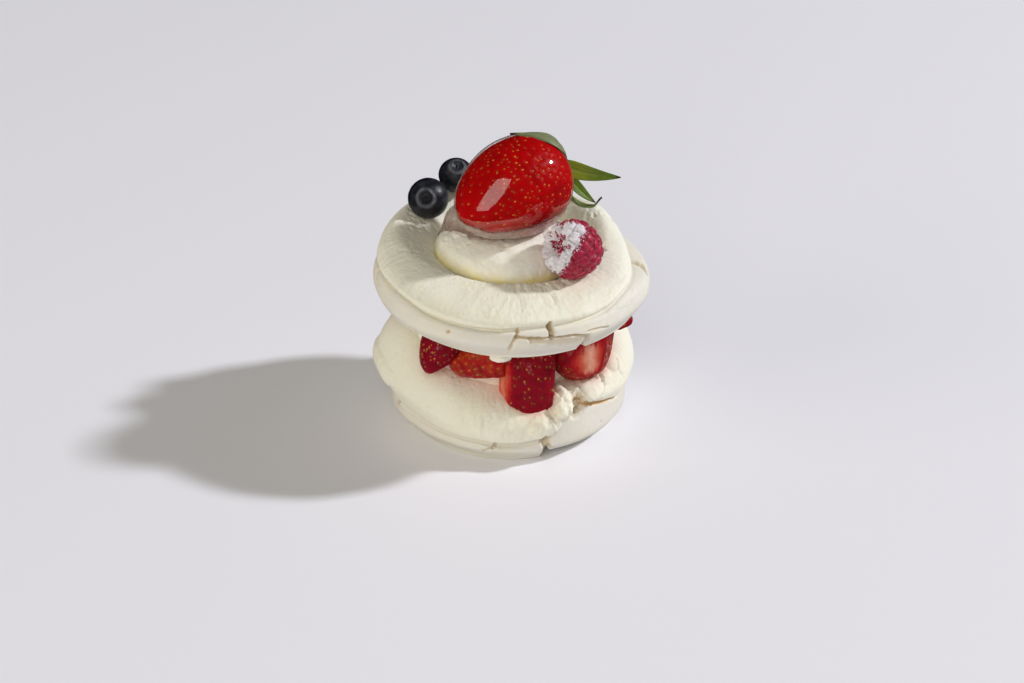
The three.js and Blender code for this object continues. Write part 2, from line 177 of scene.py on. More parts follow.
SWIRL = {
    "centre": (1.1, -1),
    "bottom": 52.2,
    "edge": 55,
    "top": 64.4,
    "radius": (21, 22, 23, 24.5, 24, 21, 21.4, 20.6),
    "fold": 0.9,
}

DAB = {"centre": (-2.4, -31, 34.9), "half": (3.4, 2.4, 1.6)}


# ---- Sizes of the fruit --------------------------------------------------
# A fruit has its own frame, with +Z towards its stem end, crown or open end: topWay.

# The power that an egg shape's shares are raised to, below and above its middle; 2 is an
# ellipse, and more is blunter.
TIP_POWER = 1.75
STEM_POWER = 2.5
# How sharply the flats of a cut strawberry meet, in its shape and in a rough distance.
KNIFE_SHARPNESS = 44
ROUGH_SHARPNESS = 18

STRAWBERRY = {
    "centre": (2.6, -1.3, 77.6),
    "topWay": (0.76, 0.63, 0.13),
    "egg": {"radius": 14.6, "tip": 22.4, "stem": 16.6},
    "thickSide": (-0.75, 0.2, 0.63),
    "flatter": (-0.46, -0.84, 0.28),
}
# The glaze that ran down over the swirl: its edge as (angle, distance from its middle),
# where it comes out from under the fruit, how hollow its slope is (1 is straight), and the
# line on the fruit below which the coat is milky, as (angle, height).
SKIRT = {
    "centre": (-3, 0),
    "edge": (
        (-156, 11.4), (-126, 9.9), (-106, 10), (-88, 9.4), (-52, 8), (-16, 9.9), (18, 14.9),
        (60, 13), (110, 14), (140, 19), (155, 21.5), (168, 18), (-176, 14.4),
    ),
    "innerRadius": 6,
    "innerHeight": ((-180, 75.5), (-125, 73.4), (-60, 72.6), (0, 72.8), (90, 74)),
    "hollow": ((-180, 0.95), (-135, 1.25), (-90, 1.35), (90, 1.3), (150, 0.9)),
    "contact": (
        (-180, 74.6), (-138, 73.4), (-123, 72.2), (-110, 70.3), (-94, 70.3), (-77, 70.6),
        (-53, 71.3), (-31, 72), (-14, 72.6), (20, 73), (90, 72),
    ),
}

UP = np.array((0, 0, 1))

# Cut strawberries: the middle, the egg shape, the flats that the knife left, as (outward
# direction, distance from the middle), how far apart the seeds are, how bright the skin is,
# and a pale streak on a cut face as (x from the middle, width, how pale). Shoulders are
# flatter places that still have their skin.
FRONT_SLICES = (
    {
        "centre": (-20.4, -20.2, 32.8),
        "topWay": (0.4, 0.25, 0.85),
        "egg": {"radius": 6.8, "tip": 10.2, "stem": 9},
        "flats": (((0.3, 0.95, 0), 2.5), (UP, 4.7), ((0.5, -0.2, -0.8), 5.4), ((1, 0.3, 0), 4.6)),
        "gap": 2.3,
        "bright": 0,
    },
    {
        "centre": (-6.6, -23.2, 30.8),
        "topWay": (0.95, -0.1, 0.2),
        "egg": {"radius": 8, "tip": 13.4, "stem": 12},
        "shoulders": (((-0.62, -0.2, 0.75), 7),),
        "flats": (
            ((0, 1, 0.2), 3), ((0.06, -0.3, -1), 6.2), ((0.96, -0.2, 0), 6.8),
            ((-0.93, -0.3, -0.2), 11.4),
        ),
        "gap": 2.5,
        "bright": 0.75,
    },
    {
        "centre": (5.4, -20.4, 26),
        "topWay": (0, 0, -1),
        "egg": {"radius": 14.4, "tip": 19, "stem": 34},
        "shoulders": (((-0.06, -0.7, 0.72), 13.4), ((1, 0.05, -0.06), 8)),
        "flats": (
            ((-0.87, -0.5, 0.06), 10.5), ((-1, 0, 0), 8.4), ((-0.36, 0.1, -1), 7.5),
            ((0, 1, 0), 4), (UP, 11.6),
        ),
        "gap": 3.2,
        "bright": 0.12,
        "pale": (-7.4, 0.8, 0.5),
    },
    {
        "centre": (20.9, -16.8, 29.8),
        "topWay": (0.1, 0.1, 0.95),
        "egg": {"radius": 11.8, "tip": 10, "stem": 13},
        "shoulders": (((0.93, -0.3, -0.1), 9.8),),
        "flats": (((0.4, -0.91, -0.06), 9.4), (UP, 7.8), ((-0.4, 0.9, 0), 3)),
        "gap": 3,
        "bright": 0.4,
        "pale": (3.9, 1.8, 1),
    },
)
RING_SLICES = {
    "angles": (-16, 22, 58, 94, 130, 173),
    "distance": 27,
    "peepDistance": 28.2,
    "top": 37.5,
    "thickness": 9.5,
    "peepThickness": 2.6,
    "inside": 4,
    "egg": {"radius": 8.4, "tip": 11.4, "stem": 7.4},
    "gap": 2.7,
    "bright": 0.3,
}

BLUEBERRIES = (
    {"radius": 6.4, "centre": (-25.2, 15.6, 65.2), "topWay": (-0.1, -0.88, 0.46)},
    {"radius": 5.6, "centre": (-16.7, 27.2, 67.7), "topWay": (0.1, -0.5, 0.86)},
)

RASPBERRY = {
    "centre": (19.1, -18.4, 64.8),
    "topWay": (-0.87, -0.285, 0.39),
    "egg": {"radius": 9.3, "tip": 10, "stem": 8.4, "stemPower": 2},
    "hole": 4.4,
    "holeDepth": 7.4,
    "drupelets": 84,
}
# Lumps of caked sugar on the raspberry as (turn round its open end, how far along to that
# end, half their turn, half their length, how thick).
SUGAR = (
    (-8, 0.48, 26, 0.36, 0.9),
    (-34, 0.52, 22, 0.26, 1.0),
    (-112, 0.66, 42, 0.28, 1.0),
    (-72, 0.56, 22, 0.16, 0.8),
    (-160, 0.8, 40, 0.16, 0.8),
    (100, 0.8, 110, 0.1, 0.5),
)

# Each leaf runs from the stem over a bend to its tip: the way its face looks, how wide it
# is and where along it (below 1 is nearer the stem), how far its sides curl up, how much
# its tip hooks up, how yellow it is near the stem and how grey and pale it is under glaze,
# partly from the glaze over it and partly a painted sheen.
CALYX = {
    "radius": 4.6,
    "thickness": 1.4,
    "leafThickness": 0.5,
    "leaves": (
        {
            "bend": (22.5, 8.4, 76.4), "tip": (34.6, 7.6, 76.2), "facing": (0.1, -0.8, 0.5),
            "width": 5.4, "widest": 0.56, "cup": 0.5, "young": 0.9, "dull": 0,
        },
        {
            "bend": (20.4, 9.4, 71.4), "tip": (26.8, 8.8, 67), "facing": (0.3, -0.7, 0.6),
            "width": 3.8, "widest": 0.8, "cup": 0.4, "young": 0, "dull": 0,
        },
        {
            "bend": (18, 9, 62), "tip": (28.8, 7.4, 67.4), "facing": (0, 0.2, 0.95),
            "width": 4, "widest": 0.8, "cup": 0.9, "hook": 2.2, "young": 0, "dull": 0.35,
        },
        {
            "bend": (18.8, 2.2, 95), "tip": (0.2, 5, 91.6), "facing": (0.4, 0.05, 0.88),
            "width": 7.6, "widest": 0.85, "cup": -0.9, "hook": 0.4, "young": 0, "dull": 0.7,
        },
        {
            "bend": (8, 20, 81), "tip": (-1, 19, 77), "facing": (-0.1, 0.95, 0.3),
            "width": 5, "widest": 0.8, "cup": -0.4, "young": 0.2, "dull": 0.3,
        },
        {
            "bend": (14, 18, 72), "tip": (11, 22, 67.4), "facing": (0.2, 0.9, -0.1),
            "width": 4.6, "widest": 0.8, "cup": -0.4, "young": 0.2, "dull": 0.2,
        },
    ),
}
# A leaf's places along and across it, and how fast its fine veins follow each other.
LEAF_PLACES = (70, 21)
VEIN_WAVES = 19

# Each ball-shaped piece's places round its axis and from pole to pole.
BALL_PLACES = {
    "front_slice": (220, 150),
    "ring_slice": (80, 50),
    "strawberry": (300, 200),
    "glaze": (260, 180),
    "calyx": (48, 22),
    "blueberry": (140, 110),
    "raspberry": (300, 220),
    "sugar": (320, 220),
    "dab": (64, 30),
}


# ---- Sizes of the stage, in metres and degrees ---------------------------
# A light has a direction and a distance from the middle of the object, and may be turned
# about that direction.

OBJECT_MIDDLE = (0, 0, 0.045)
FLOOR_SIZE = 12
# The camera's pitch is from straight down, and its sensor is in millimetres.
CAMERA = {"place": (0.00096, -0.664655, 0.397112), "pitch": 60.6, "sensor": 36}
LIGHTS = {
    "key": {
        "way": (0.8, 0.15, 0.6), "distance": 4, "size": (0.28, 0.28), "tint": (1, 1, 1.065),
    },
    "front": {
        "way": (-0.22, -0.9, 0.47), "distance": 2.2, "size": (0.94, 2.6),
        "tint": (1, 0.95, 0.87), "turn": -7,
    },
    "side": {
        "way": (-1, -0.5, 0.25), "distance": 2.2, "size": (1.6, 1.6), "tint": (1, 0.91, 0.75),
    },
}


# ---- Settings ------------------------------------------------------------


def length(name, description, millimetres):
    """A length, kept in metres, which a user can change."""
    return FloatProperty(
        name=name, description=description, default=millimetres * MM, unit="LENGTH"
    )


def colour(name, description, red, green, blue):
    """A linear colour, which a user can change."""
    return FloatVectorProperty(
        name=name, description=description, default=(red, green, blue),
        subtype="COLOR", size=3, min=0, max=1,
    )


def watts(name, description, strength):
    """The strength of a light, which a user can change."""
    return FloatProperty(name=name, description=description, default=strength, unit="POWER")


class MeringueSettings(bpy.types.PropertyGroup):
    """Sizes and colours of the two nests."""

    turns: IntProperty(name="Turns", description="Places round each nest", default=560)
    wobble: length("Wobble", "How uneven the piping is", 0.5)
    streaks: length("Streaks", "Height of the drag marks on the coils", 0.075)
    wrinkles: length("Wrinkles", "Height of the wrinkles where the piping was pulled", 0.26)
    pits: length("Pits", "Depth of the fine pits", 0.3)
    crust: colour("Crust", "Baked outside of the meringue", 0.88, 0.865, 0.73)
    foot: colour("Foot", "Smooth lower side of each nest", 0.79, 0.76, 0.67)
    inside: colour("Inside", "Inside of a crack", 0.68, 0.55, 0.36)
    toast: colour("Toast", "Browned broken edge", 0.66, 0.42, 0.18)
    juice: colour("Juice", "Meringue stained by the fruit", 0.78, 0.5, 0.4)


class CreamSettings(bpy.types.PropertyGroup):
    """Sizes and colours of the cream."""

    wobble: length("Wobble", "How uneven the swirl is", 0.6)
    pits: length("Pits", "Depth of the air bubbles", 0.24)
    cream: colour("Cream", "Whipped cream", 0.95, 0.93, 0.82)
    rich: colour("Groove yellow", "Yellow fold where the swirl meets the nest", 0.92, 0.8, 0.36)
    stained: colour("Stained", "Cream beside the cut fruit", 0.8, 0.56, 0.44)


class SliceSettings(bpy.types.PropertyGroup):
    """Sizes and colours of the cut strawberries."""

    seed_length: length("Seed length", "Length of a seed", 1.0)
    seed: colour("Seed", "Pale seeds", 0.48, 0.18, 0.035)
    seed_dark: colour("Dark seed", "Dark seeds", 0.2, 0.06, 0.015)
    skin: colour("Skin", "Outside of the fruit", 0.24, 0.002, 0.014)
    bright_skin: colour("Bright skin", "Outside where it is less ripe", 0.5, 0.012, 0.006)
    rim: colour("Rim", "Flesh next to the skin", 0.42, 0.006, 0.012)
    flesh: colour("Flesh", "Flesh nearer the middle", 0.62, 0.08, 0.035)
    heart: colour("Heart", "Pale streak in the flesh", 0.78, 0.38, 0.26)


class StrawberrySettings(bpy.types.PropertyGroup):
    """Sizes and colours of the whole strawberry and its glaze."""

    seed_length: length("Seed length", "Length of a seed", 0.85)
    seed: colour("Seed", "Pale seeds", 0.7, 0.26, 0.04)
    seed_dark: colour("Dark seed", "Dark seeds", 0.32, 0.09, 0.015)
    seed_gap: length("Seed spacing", "Distance between seeds", 2.6)
    dimple: length("Dimple", "Depth of the dimple round a seed", 0.3)
    glaze: length("Glaze", "Thickness of the clear glaze", 0.35)
    skin: colour("Skin", "Ripe outside", 0.5, 0.0008, 0.002)
    shoulder: colour("Shoulder", "Paler outside by the leaves", 0.55, 0.02, 0.006)
    jelly: colour("Jelly", "Milky glaze", 0.76, 0.63, 0.53)
    deep_jelly: colour("Deep jelly", "Streaks in the milky glaze", 0.32, 0.17, 0.13)
    edge_jelly: colour("Edge jelly", "Edges of the milky glaze", 0.2, 0.07, 0.06)
    # painted reflection of the fruit in the milky glaze
    painted_reflection_jelly: colour("Painted reflection jelly", "Milky glaze that mirrors the fruit", 0.5, 0.14, 0.13)


class BerrySettings(bpy.types.PropertyGroup):
    """Sizes and colours of the blueberries, the raspberry and the leaves."""

    drupelet: length("Groove", "Depth of the grooves between drupelets", 0.95)
    grain: length("Sugar grain", "Size of a grain of powdered sugar", 0.32)
    grains: IntProperty(name="Grains", description="Grains of sugar", default=1800)
    blueberry: colour("Blueberry", "Skin of the blueberries", 0.009, 0.01, 0.015)
    bloom: colour("Bloom", "Grey bloom on the blueberries", 0.1, 0.115, 0.15)
    raspberry: colour("Raspberry", "Skin of the raspberry", 0.3, 0.006, 0.03)
    sugar: colour("Sugar", "Powdered sugar", 0.86, 0.84, 0.87)
    leaf: colour("Leaf", "Fresh leaf", 0.12, 0.2, 0.012)
    leaf_dark: colour("Dark leaf", "Darker patches of a leaf", 0.06, 0.12, 0.008)
    leaf_young: colour("Young leaf", "Leaf near the stem", 0.26, 0.3, 0.012)


class StageSettings(bpy.types.PropertyGroup):
    """The floor, the light and the camera."""

    floor: colour("Floor", "Pale floor", 0.88, 0.88, 0.93)
    key: watts("Key", "Strength of the main light", 120)
    front: watts("Front", "Strength of the front softbox", 14)
    side: watts("Side", "Strength of the left softbox", 17.5)
    sky: FloatProperty(name="Sky", description="Strength of the light all round", default=0.228)
    lens: FloatProperty(
        name="Lens", description="Focal length in mm", default=85, subtype="DISTANCE_CAMERA"
    )


class PavlovaSettings(bpy.types.PropertyGroup):
    """All settings of the pavlova."""

    meringue: PointerProperty(type=MeringueSettings)
    cream: PointerProperty(type=CreamSettings)
    slices: PointerProperty(type=SliceSettings)
    strawberry: PointerProperty(type=StrawberrySettings)
    berries: PointerProperty(type=BerrySettings)
    stage: PointerProperty(type=StageSettings)


# ---- Numbers and noise ---------------------------------------------------


def smooth(low, high, x):
    """0 below low, 1 above high, and an S-shaped step between them."""
    t = np.clip((x - low) / (high - low), 0, 1)
    return t * t * (3 - 2 * t)


def bell(x, width):
    """1 at zero, falling off on both sides over the width."""
    return np.exp(-((x / width) ** 2))


def around(row, theta):
    """A size at each angle: a smooth curve through the row's sizes, evenly spaced round
    the circle. Between two sizes it blends them and follows their neighbours' slopes."""
    row = np.asarray(row, float)
    count = len(row)
    place = (theta / TAU * count) % count
    i = np.floor(place).astype(int)
    t = place - i
    a, b, c, d = (row[(i + k) % count] for k in (-1, 0, 1, 2))
    blend = t * t * (3 - 2 * t)
    leave = t * (1 - t) ** 2 * (c - a) / 2
    arrive = t * t * (t - 1) * (d - b) / 2
    return b + (c - b) * blend + leave + arrive


def scattered(x, y, z, seed):
    """A random value from -1 to 1 for each corner of a lattice: its counts and the seed,
    each times a large odd number, joined bit by bit and mixed until no pattern is left."""
    low_bits = 0xFFFFFFFF
    mixed = (x * 73856093 ^ y * 19349663 ^ z * 83492791 ^ seed * 668265263) & low_bits
    mixed = (mixed ^ mixed >> 15) * 2246822519 & low_bits
    mixed = (mixed ^ mixed >> 13) * 3266489917 & low_bits
    return (mixed ^ mixed >> 16) / 0x7FFFFFFF - 1


def noise(points, size, seed):
    """Smooth random bumps from -1 to 1: each corner of a lattice of cells of that size has
    a random value, and a place blends the eight corners round it."""
    place = (points @ LATTICE_TURN + seed * 17.3) / size
    cell = np.floor(place).astype(np.int64)
    t = place - cell
    t = t * t * (3 - 2 * t)
    total = np.zeros(points.shape[:-1])
    for corner in range(8):
        step = np.array([corner & 1, corner >> 1 & 1, corner >> 2 & 1])
        value = scattered(*np.moveaxis(cell + step, -1, 0), seed)
        total += value * np.prod(np.where(step, t, 1 - t), axis=-1)
    return total


def turn_about(axis, angle):
    """The matrix that turns by an angle about an axis."""
    x, y, z = np.asarray(axis, float) / np.linalg.norm(axis)
    cross = np.array([[0, -z, y], [z, 0, -x], [-y, x, 0]])
    return np.eye(3) + math.sin(angle) * cross + (1 - math.cos(angle)) * cross @ cross


LATTICE_TURN = turn_about((0.3, 0.8, 0.5), 0.9)


def rough(points, size, seed, octaves):
    """Noise with finer and weaker noise on top: each octave is half the size and height."""
    return sum(noise(points, size / 2**k, seed + k) * 0.5**k for k in range(octaves))


def unit(way):
    """A direction of length 1."""
    way = np.asarray(way, float)
    return way / np.linalg.norm(way, axis=-1, keepdims=True)


def turn_from_up(way):
    """The matrix that turns +Z to a direction by the shortest way."""
    way = unit(way)
    cross = np.cross(UP, way)
    sine = np.linalg.norm(cross)
    if sine < 1e-9:
        return np.diag([1.0, -1.0, -1.0]) if way[2] < 0 else np.eye(3)
    return turn_about(cross, math.atan2(sine, way[2]))


def turned(fruit, ways):
    """Directions of a fruit's own frame as directions of the object's."""
    return ways @ turn_from_up(fruit["topWay"]).T


def placed(fruit, points):
    """Places of a fruit's own frame as places of the object's: turned, then moved."""
    return turned(fruit, points) + fruit["centre"]


# ---- Meshes --------------------------------------------------------------


def add_object(name, data):
    """Puts a new object into the scene."""
    made = bpy.data.objects.new(name, data)
    bpy.context.scene.collection.objects.link(made)
    return made


def add_piece(name, points, faces, material, node=None, fields=None):
    """Makes one piece from places in millimetres and lists of equal-sided faces, gives it
    its fields (a number or three at each place), and lets it ride on the frame."""
    mesh = bpy.data.meshes.new(name)
    mesh.vertices.add(len(points))
    mesh.vertices.foreach_set("co", (np.asarray(points) * MM).astype(np.float32).ravel())
    faces = [np.asarray(f) for f in faces if len(f)]
    sides = np.concatenate([np.full(len(f), f.shape[1]) for f in faces])
    corners = np.concatenate([f.ravel() for f in faces])
    mesh.loops.add(len(corners))
    mesh.loops.foreach_set("vertex_index", corners.astype(np.int32))
    mesh.polygons.add(len(sides))
    starts = np.concatenate([[0], np.cumsum(sides)[:-1]])
    mesh.polygons.foreach_set("loop_start", starts.astype(np.int32))
    mesh.polygons.foreach_set("use_smooth", np.ones(len(sides), bool))
    mesh.update(calc_edges=True)
    for field, values in (fields or {}).items():
        values = np.asarray(values, np.float32)
        kind, member = ("FLOAT", "value") if values.ndim == 1 else ("FLOAT_VECTOR", "vector")
        layer = mesh.attributes.new(field, kind, "POINT")
        layer.data.foreach_set(member, values.ravel())
    mesh.materials.append(material)
    piece = add_object(name, mesh)
    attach(piece, "root")
    if node:
        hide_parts(node)


def closed_skin(rows, columns):
    """Faces of a surface whose rows x columns places go round along the rows' direction,
    with one more place, a pole, before the first column and one after the last."""
    i, j = np.meshgrid(np.arange(rows), np.arange(columns - 1), indexing="ij")
    here, ahead = i * columns + j + 2, (i + 1) % rows * columns + j + 2
    quads = np.stack([here, ahead, ahead + 1, here + 1], -1).reshape(-1, 4)
    i = np.arange(rows)
    first, after = i * columns + 2, (i + 1) % rows * columns + 2
    last = columns - 1
    bottom = np.stack([np.zeros_like(i), after, first], -1)
    top = np.stack([np.ones_like(i), first + last, after + last], -1)
    return [quads, bottom, top]


def with_poles(grid):
    """A grid's two poles, the means of its first and of its last column, and then its
    places, in the order closed_skin counts them. Fields of a grid get their poles too."""
    poles = np.stack([grid[:, 0].mean(0), grid[:, -1].mean(0)])
    return np.concatenate([poles, grid.reshape(-1, *grid.shape[2:])])


def add_grid(name, grid, material, node, fields):
    """Adds a grid that goes round and closes in two poles, with fields on the same grid."""
    fields = {key: with_poles(value) for key, value in fields.items()}
    skin = closed_skin(*grid.shape[:2])
    add_piece(name, with_poles(grid), skin, material, node, fields)


def grid_normals(grid):
    """Outward directions of a grid that goes round along its first side and upwards along
    its second: the cross product of the steps along both sides."""
    along = np.roll(grid, -1, axis=0) - np.roll(grid, 1, axis=0)
    up = np.gradient(grid, axis=1)
    return unit(np.cross(along, up) + 1e-12)


def ball(around_count, up_count):
    """A ball's directions and its faces: the -Z pole, the +Z pole, and a grid of turns by
    even steps up from the one to the other."""
    turn = np.arange(around_count) * TAU / around_count
    tilt = np.linspace(0, math.pi, up_count + 2)[1:-1]
    turn, tilt = np.meshgrid(turn, tilt, indexing="ij")
    away = np.sin(tilt)
    grid = np.stack([away * np.cos(turn), away * np.sin(turn), -np.cos(tilt)], -1)
    ways = np.concatenate([[(0, 0, -1), UP], grid.reshape(-1, 3)])
    return ways, closed_skin(around_count, up_count)


def spiral_ways(count):
    """Directions spread evenly over a ball along a golden spiral."""
    i = np.arange(count)
    z = 1 - (2 * i + 1) / count
    away = np.sqrt(1 - z * z)
    return np.stack([away * np.cos(GOLDEN_TURN * i), away * np.sin(GOLDEN_TURN * i), z], -1)


def copies(shape, faces, places, axes, sizes):
    """One shape at many places: its own x, y, z scaled by the sizes and laid along each
    place's three axes (rows of a matrix), all joined into one mesh."""
    laid = np.einsum("kvi,kij->kvj", shape[None] * sizes[:, None], axes) + places[:, None]
    step = np.arange(len(places)) * len(shape)
    joined = (faces[None] + step[:, None, None]).reshape(-1, faces.shape[1])
    return laid.reshape(-1, 3), joined


def small_ball(steps):
    """A ball for shapes that are repeated: its places and its triangles."""
    places, (quads, bottom, top) = ball(2 * steps, steps - 1)
    split = np.concatenate([quads[:, [0, 1, 2]], quads[:, [0, 2, 3]]])
    return places, np.concatenate([split, bottom, top])


def axes_for(forward, normal):
    """For each place, three axes as rows: across, along the forward direction as it lies
    in the surface, and out of the surface."""
    normal = unit(normal)
    along = forward - np.sum(forward * normal, -1, keepdims=True) * normal
    along = unit(along + 1e-9)
    across = np.cross(along, normal)
    return np.stack([across, along, normal], -2)


# ---- Shader maths --------------------------------------------------------


class Field:
    """A value or colour that changes over a surface. + - * and ** add Math nodes."""

    def __init__(self, look, output):
        self.look = look
        self.output = output

    def maths(self, operation, *operands):
        """What a Math node makes of some fields or numbers."""
        return self.look.node("Math", {"operation": operation}, dict(enumerate(operands)))

    def __add__(self, other):
        return self.maths("ADD", self, other)

    def __sub__(self, other):
        return self.maths("SUBTRACT", self, other)

    def __rsub__(self, other):
        return self.maths("SUBTRACT", other, self)

    def __mul__(self, other):
        return self.maths("MULTIPLY", self, other)

    def __pow__(self, other):
        return self.maths("POWER", self, other)

    __radd__ = __add__
    __rmul__ = __mul__

    def step(self, low, high):
        """0 below low, 1 above high, smooth between them."""
        settings = {"interpolation_type": "SMOOTHSTEP"}
        return self.look.node("MapRange", settings, {0: self, 1: low, 2: high})


class Look:
    """One material and its nodes. Patterns are laid in the object's own space, in mm."""

    def __init__(self, name):
        self.material = bpy.data.materials.new(name)
        self.material.use_nodes = True
        self.tree = self.material.node_tree
        self.shader = self.tree.nodes["Principled BSDF"]
        self.place = self.node("TexCoord", output="Object")

    def node(self, kind, settings=None, inputs=None, output=0):
        """Adds a node: its settings first, then its inputs by name or number, each a
        number, a colour or another field."""
        made = self.tree.nodes.new("ShaderNode" + kind)
        for name, value in (settings or {}).items():
            setattr(made, name, value)
        for name, value in (inputs or {}).items():
            if isinstance(value, Field):
                self.tree.links.new(value.output, made.inputs[name])
            else:
                made.inputs[name].default_value = value
        return Field(self, made.outputs[output])

    def noise(self, size, detail=3, seed=0, roughness=0.55, stretch=(1, 1, 1), place=None):
        """Noise from 0 to 1 with bumps about that many millimetres apart."""
        shift = (seed * 0.37, seed * 0.73, seed * 0.19)
        inputs = {"Vector": place or self.place, "Location": shift, "Scale": stretch}
        where = self.node("Mapping", None, inputs)
        inputs = {"Vector": where, "Scale": 1 / (size * MM)}
        return self.node("TexNoise", None, {**inputs, "Detail": detail, "Roughness": roughness})

    def cells(self, size, seed=0):
        """Distance to the nearest of many scattered points, as a share of their spacing."""
        shift = (seed * 0.41, seed * 0.23, seed * 0.67)
        where = self.node("Mapping", None, {"Vector": self.place, "Location": shift})
        return self.node("TexVoronoi", None, {"Vector": where, "Scale": 1 / (size * MM)})

    def field(self, name):
        """A number that the mesh holds at each place."""
        return self.node("Attribute", {"attribute_name": name}, output="Fac")

    def mix(self, share, below, above):
        """One colour where the share is 0 and another where it is 1. A Mix node's colours
        are its inputs 6 and 7 and its output 2."""
        below, above = (c if isinstance(c, Field) else (*c, 1) for c in (below, above))
        inputs = {0: share, 6: below, 7: above}
        return self.node("Mix", {"data_type": "RGBA"}, inputs, output=2)

    def layers(self, base, *layers):
        """A base colour with others laid over it in turn, each as (share, colour)."""
        for share, shade in layers:
            base = self.mix(share, base, shade)
        return base

    def body(self):
        """The material's own shader, to be mixed with another."""
        return Field(self, self.shader.outputs[0])

    def show(self, shader):
        """Lets the surface show a mix of shaders."""
        self.tree.links.new(shader.output, self.tree.nodes["Material Output"].inputs[0])

    def bump(self, height):
        """A normal from a height in millimetres."""
        return self.node("Bump", None, {"Height": height, "Distance": MM, "Strength": 1})

    def finish(self, base, roughness, normal=None, **others):
        """Sets the shader's sockets, the others by their names with underscores: what
        changes over the surface is linked, and the rest is set."""
        values = {"Base Color": base, "Roughness": roughness, "Normal": normal}
        for name, value in others.items():
            values[name.replace("_", " ").title().replace("Ior", "IOR")] = value
        for name, value in values.items():
            if isinstance(value, Field):
                self.tree.links.new(value.output, self.shader.inputs[name])
            elif value is not None:
                self.shader.inputs[name].default_value = value
        return self.material


# ---- Shapes of the cut fruit --------------------------------------------


def egg_reach(egg, way):
    """How far an egg's skin is from its middle along each direction: the length where the
    distance across and the distance along, each as a share of the egg's size and raised
    to a power, add up to one. -Z is the pointed tip."""
    z = way[..., 2]
    below = z < 0
    reach = np.where(below, egg["tip"], egg["stem"])
    power = np.where(below, TIP_POWER, egg.get("stemPower", STEM_POWER))
    across = np.hypot(way[..., 0], way[..., 1]) / egg["radius"]
    return (across**power + np.abs(z / reach) ** power) ** (-1 / power)


def slice_reach(piece, way, sharpness):
    """How far a trimmed strawberry's surface is from its middle along each direction of
    its own frame: a soft minimum of the egg's skin, its flatter shoulders and every cut."""
    total = egg_reach(piece["egg"], way) ** -sharpness
    for flat, distance in piece.get("shoulders", ()) + piece["flats"]:
        facing = way @ (unit(flat) @ turn_from_up(piece["topWay"]))
        reach = distance / np.maximum(facing, 1e-6)
        total = total + np.where(facing > 0, reach**-sharpness, 0)
    return total ** (-1 / sharpness)


def ring_slice(angle, i):
    """One of the slices round the right, back and left: it points outwards or lies along
    the edge, with its cut sides up and inwards."""
    ring = RING_SLICES
    theta = math.radians(angle)
    out = np.array([math.cos(theta), math.sin(theta), 0])
    peeps = i in (0, len(ring["angles"]) - 1)
    far = ring["peepDistance"] if peeps else ring["distance"]
    half = (ring["peepThickness"] if peeps else ring["thickness"]) / 2
    along = (-out[1], out[0], 0)
    return {
        "centre": (*(out[:2] * far), ring["top"] - half),
        "topWay": -out if peeps or i % 2 == 0 else along,
        "egg": ring["egg"],
        "flats": ((UP, half), (-UP, half), (-out, ring["inside"])),
        "gap": ring["gap"],
        "bright": ring["bright"],
    }


def all_slices():
    """The sizes of every cut strawberry, in the order of the frame's nodes."""
    return [*FRONT_SLICES, *(ring_slice(a, i) for i, a in enumerate(RING_SLICES["angles"]))]


def distance_to_fruit(points):
    """Roughly how far each place is from the nearest cut strawberry, negative inside."""
    nearest = np.full(points.shape[:-1], 99.0)
    for piece in all_slices():
        own = (points - piece["centre"]) @ turn_from_up(piece["topWay"])
        far = np.linalg.norm(own, axis=-1) + 1e-9
        gap = far - slice_reach(piece, own / far[..., None], ROUGH_SHARPNESS)
        nearest = np.minimum(nearest, gap)
    return nearest


# ---- Turned shapes -------------------------------------------------------


def along_row(row, degrees):
    """A size given as (angle, size) pairs, read at each angle by straight lines between."""
    angles, sizes = np.array(row, float).T
    return np.interp(degrees, angles, sizes, period=360)


def through(points, stations):
    """A smooth curve through each row of points, read at stations counted in points: a
    cubic between each two, with slopes taken from the neighbours on both sides."""
    last = points.shape[1] - 1
    i = np.minimum(np.floor(stations).astype(int), last - 1)
    t = (stations - i)[None, :, None]
    before, after = np.maximum(i - 1, 0), np.minimum(i + 2, last)
    a, b, c, d = points[:, before], points[:, i], points[:, i + 1], points[:, after]
    leave, arrive = (c - a) / 2, (d - b) / 2
    cube = (2 * b - 2 * c + leave + arrive) * t**3
    square = (3 * c - 3 * b - 2 * leave - arrive) * t**2
    return cube + square + leave * t + b


def turned_grid(points, theta, steps):
    """An outline turned round the axis: at each angle a smooth curve through its (radius,
    height) points, each a number or a row over the angles, with a number of steps between
    each two. Also gives each place's station, which counts along the points."""
    rows = [np.stack(np.broadcast_arrays(*point, theta)[:2], -1) for point in points]
    stations = np.concatenate([i + np.arange(n) / n for i, n in enumerate(steps)])[1:]
    radius, height = np.moveaxis(through(np.stack(rows, 1), stations), -1, 0)
    angle = theta[:, None]
    grid = np.stack([radius * np.cos(angle), radius * np.sin(angle), height], -1)
    return grid, np.broadcast_to(stations, radius.shape)


# ---- Meringue ------------------------------------------------------------


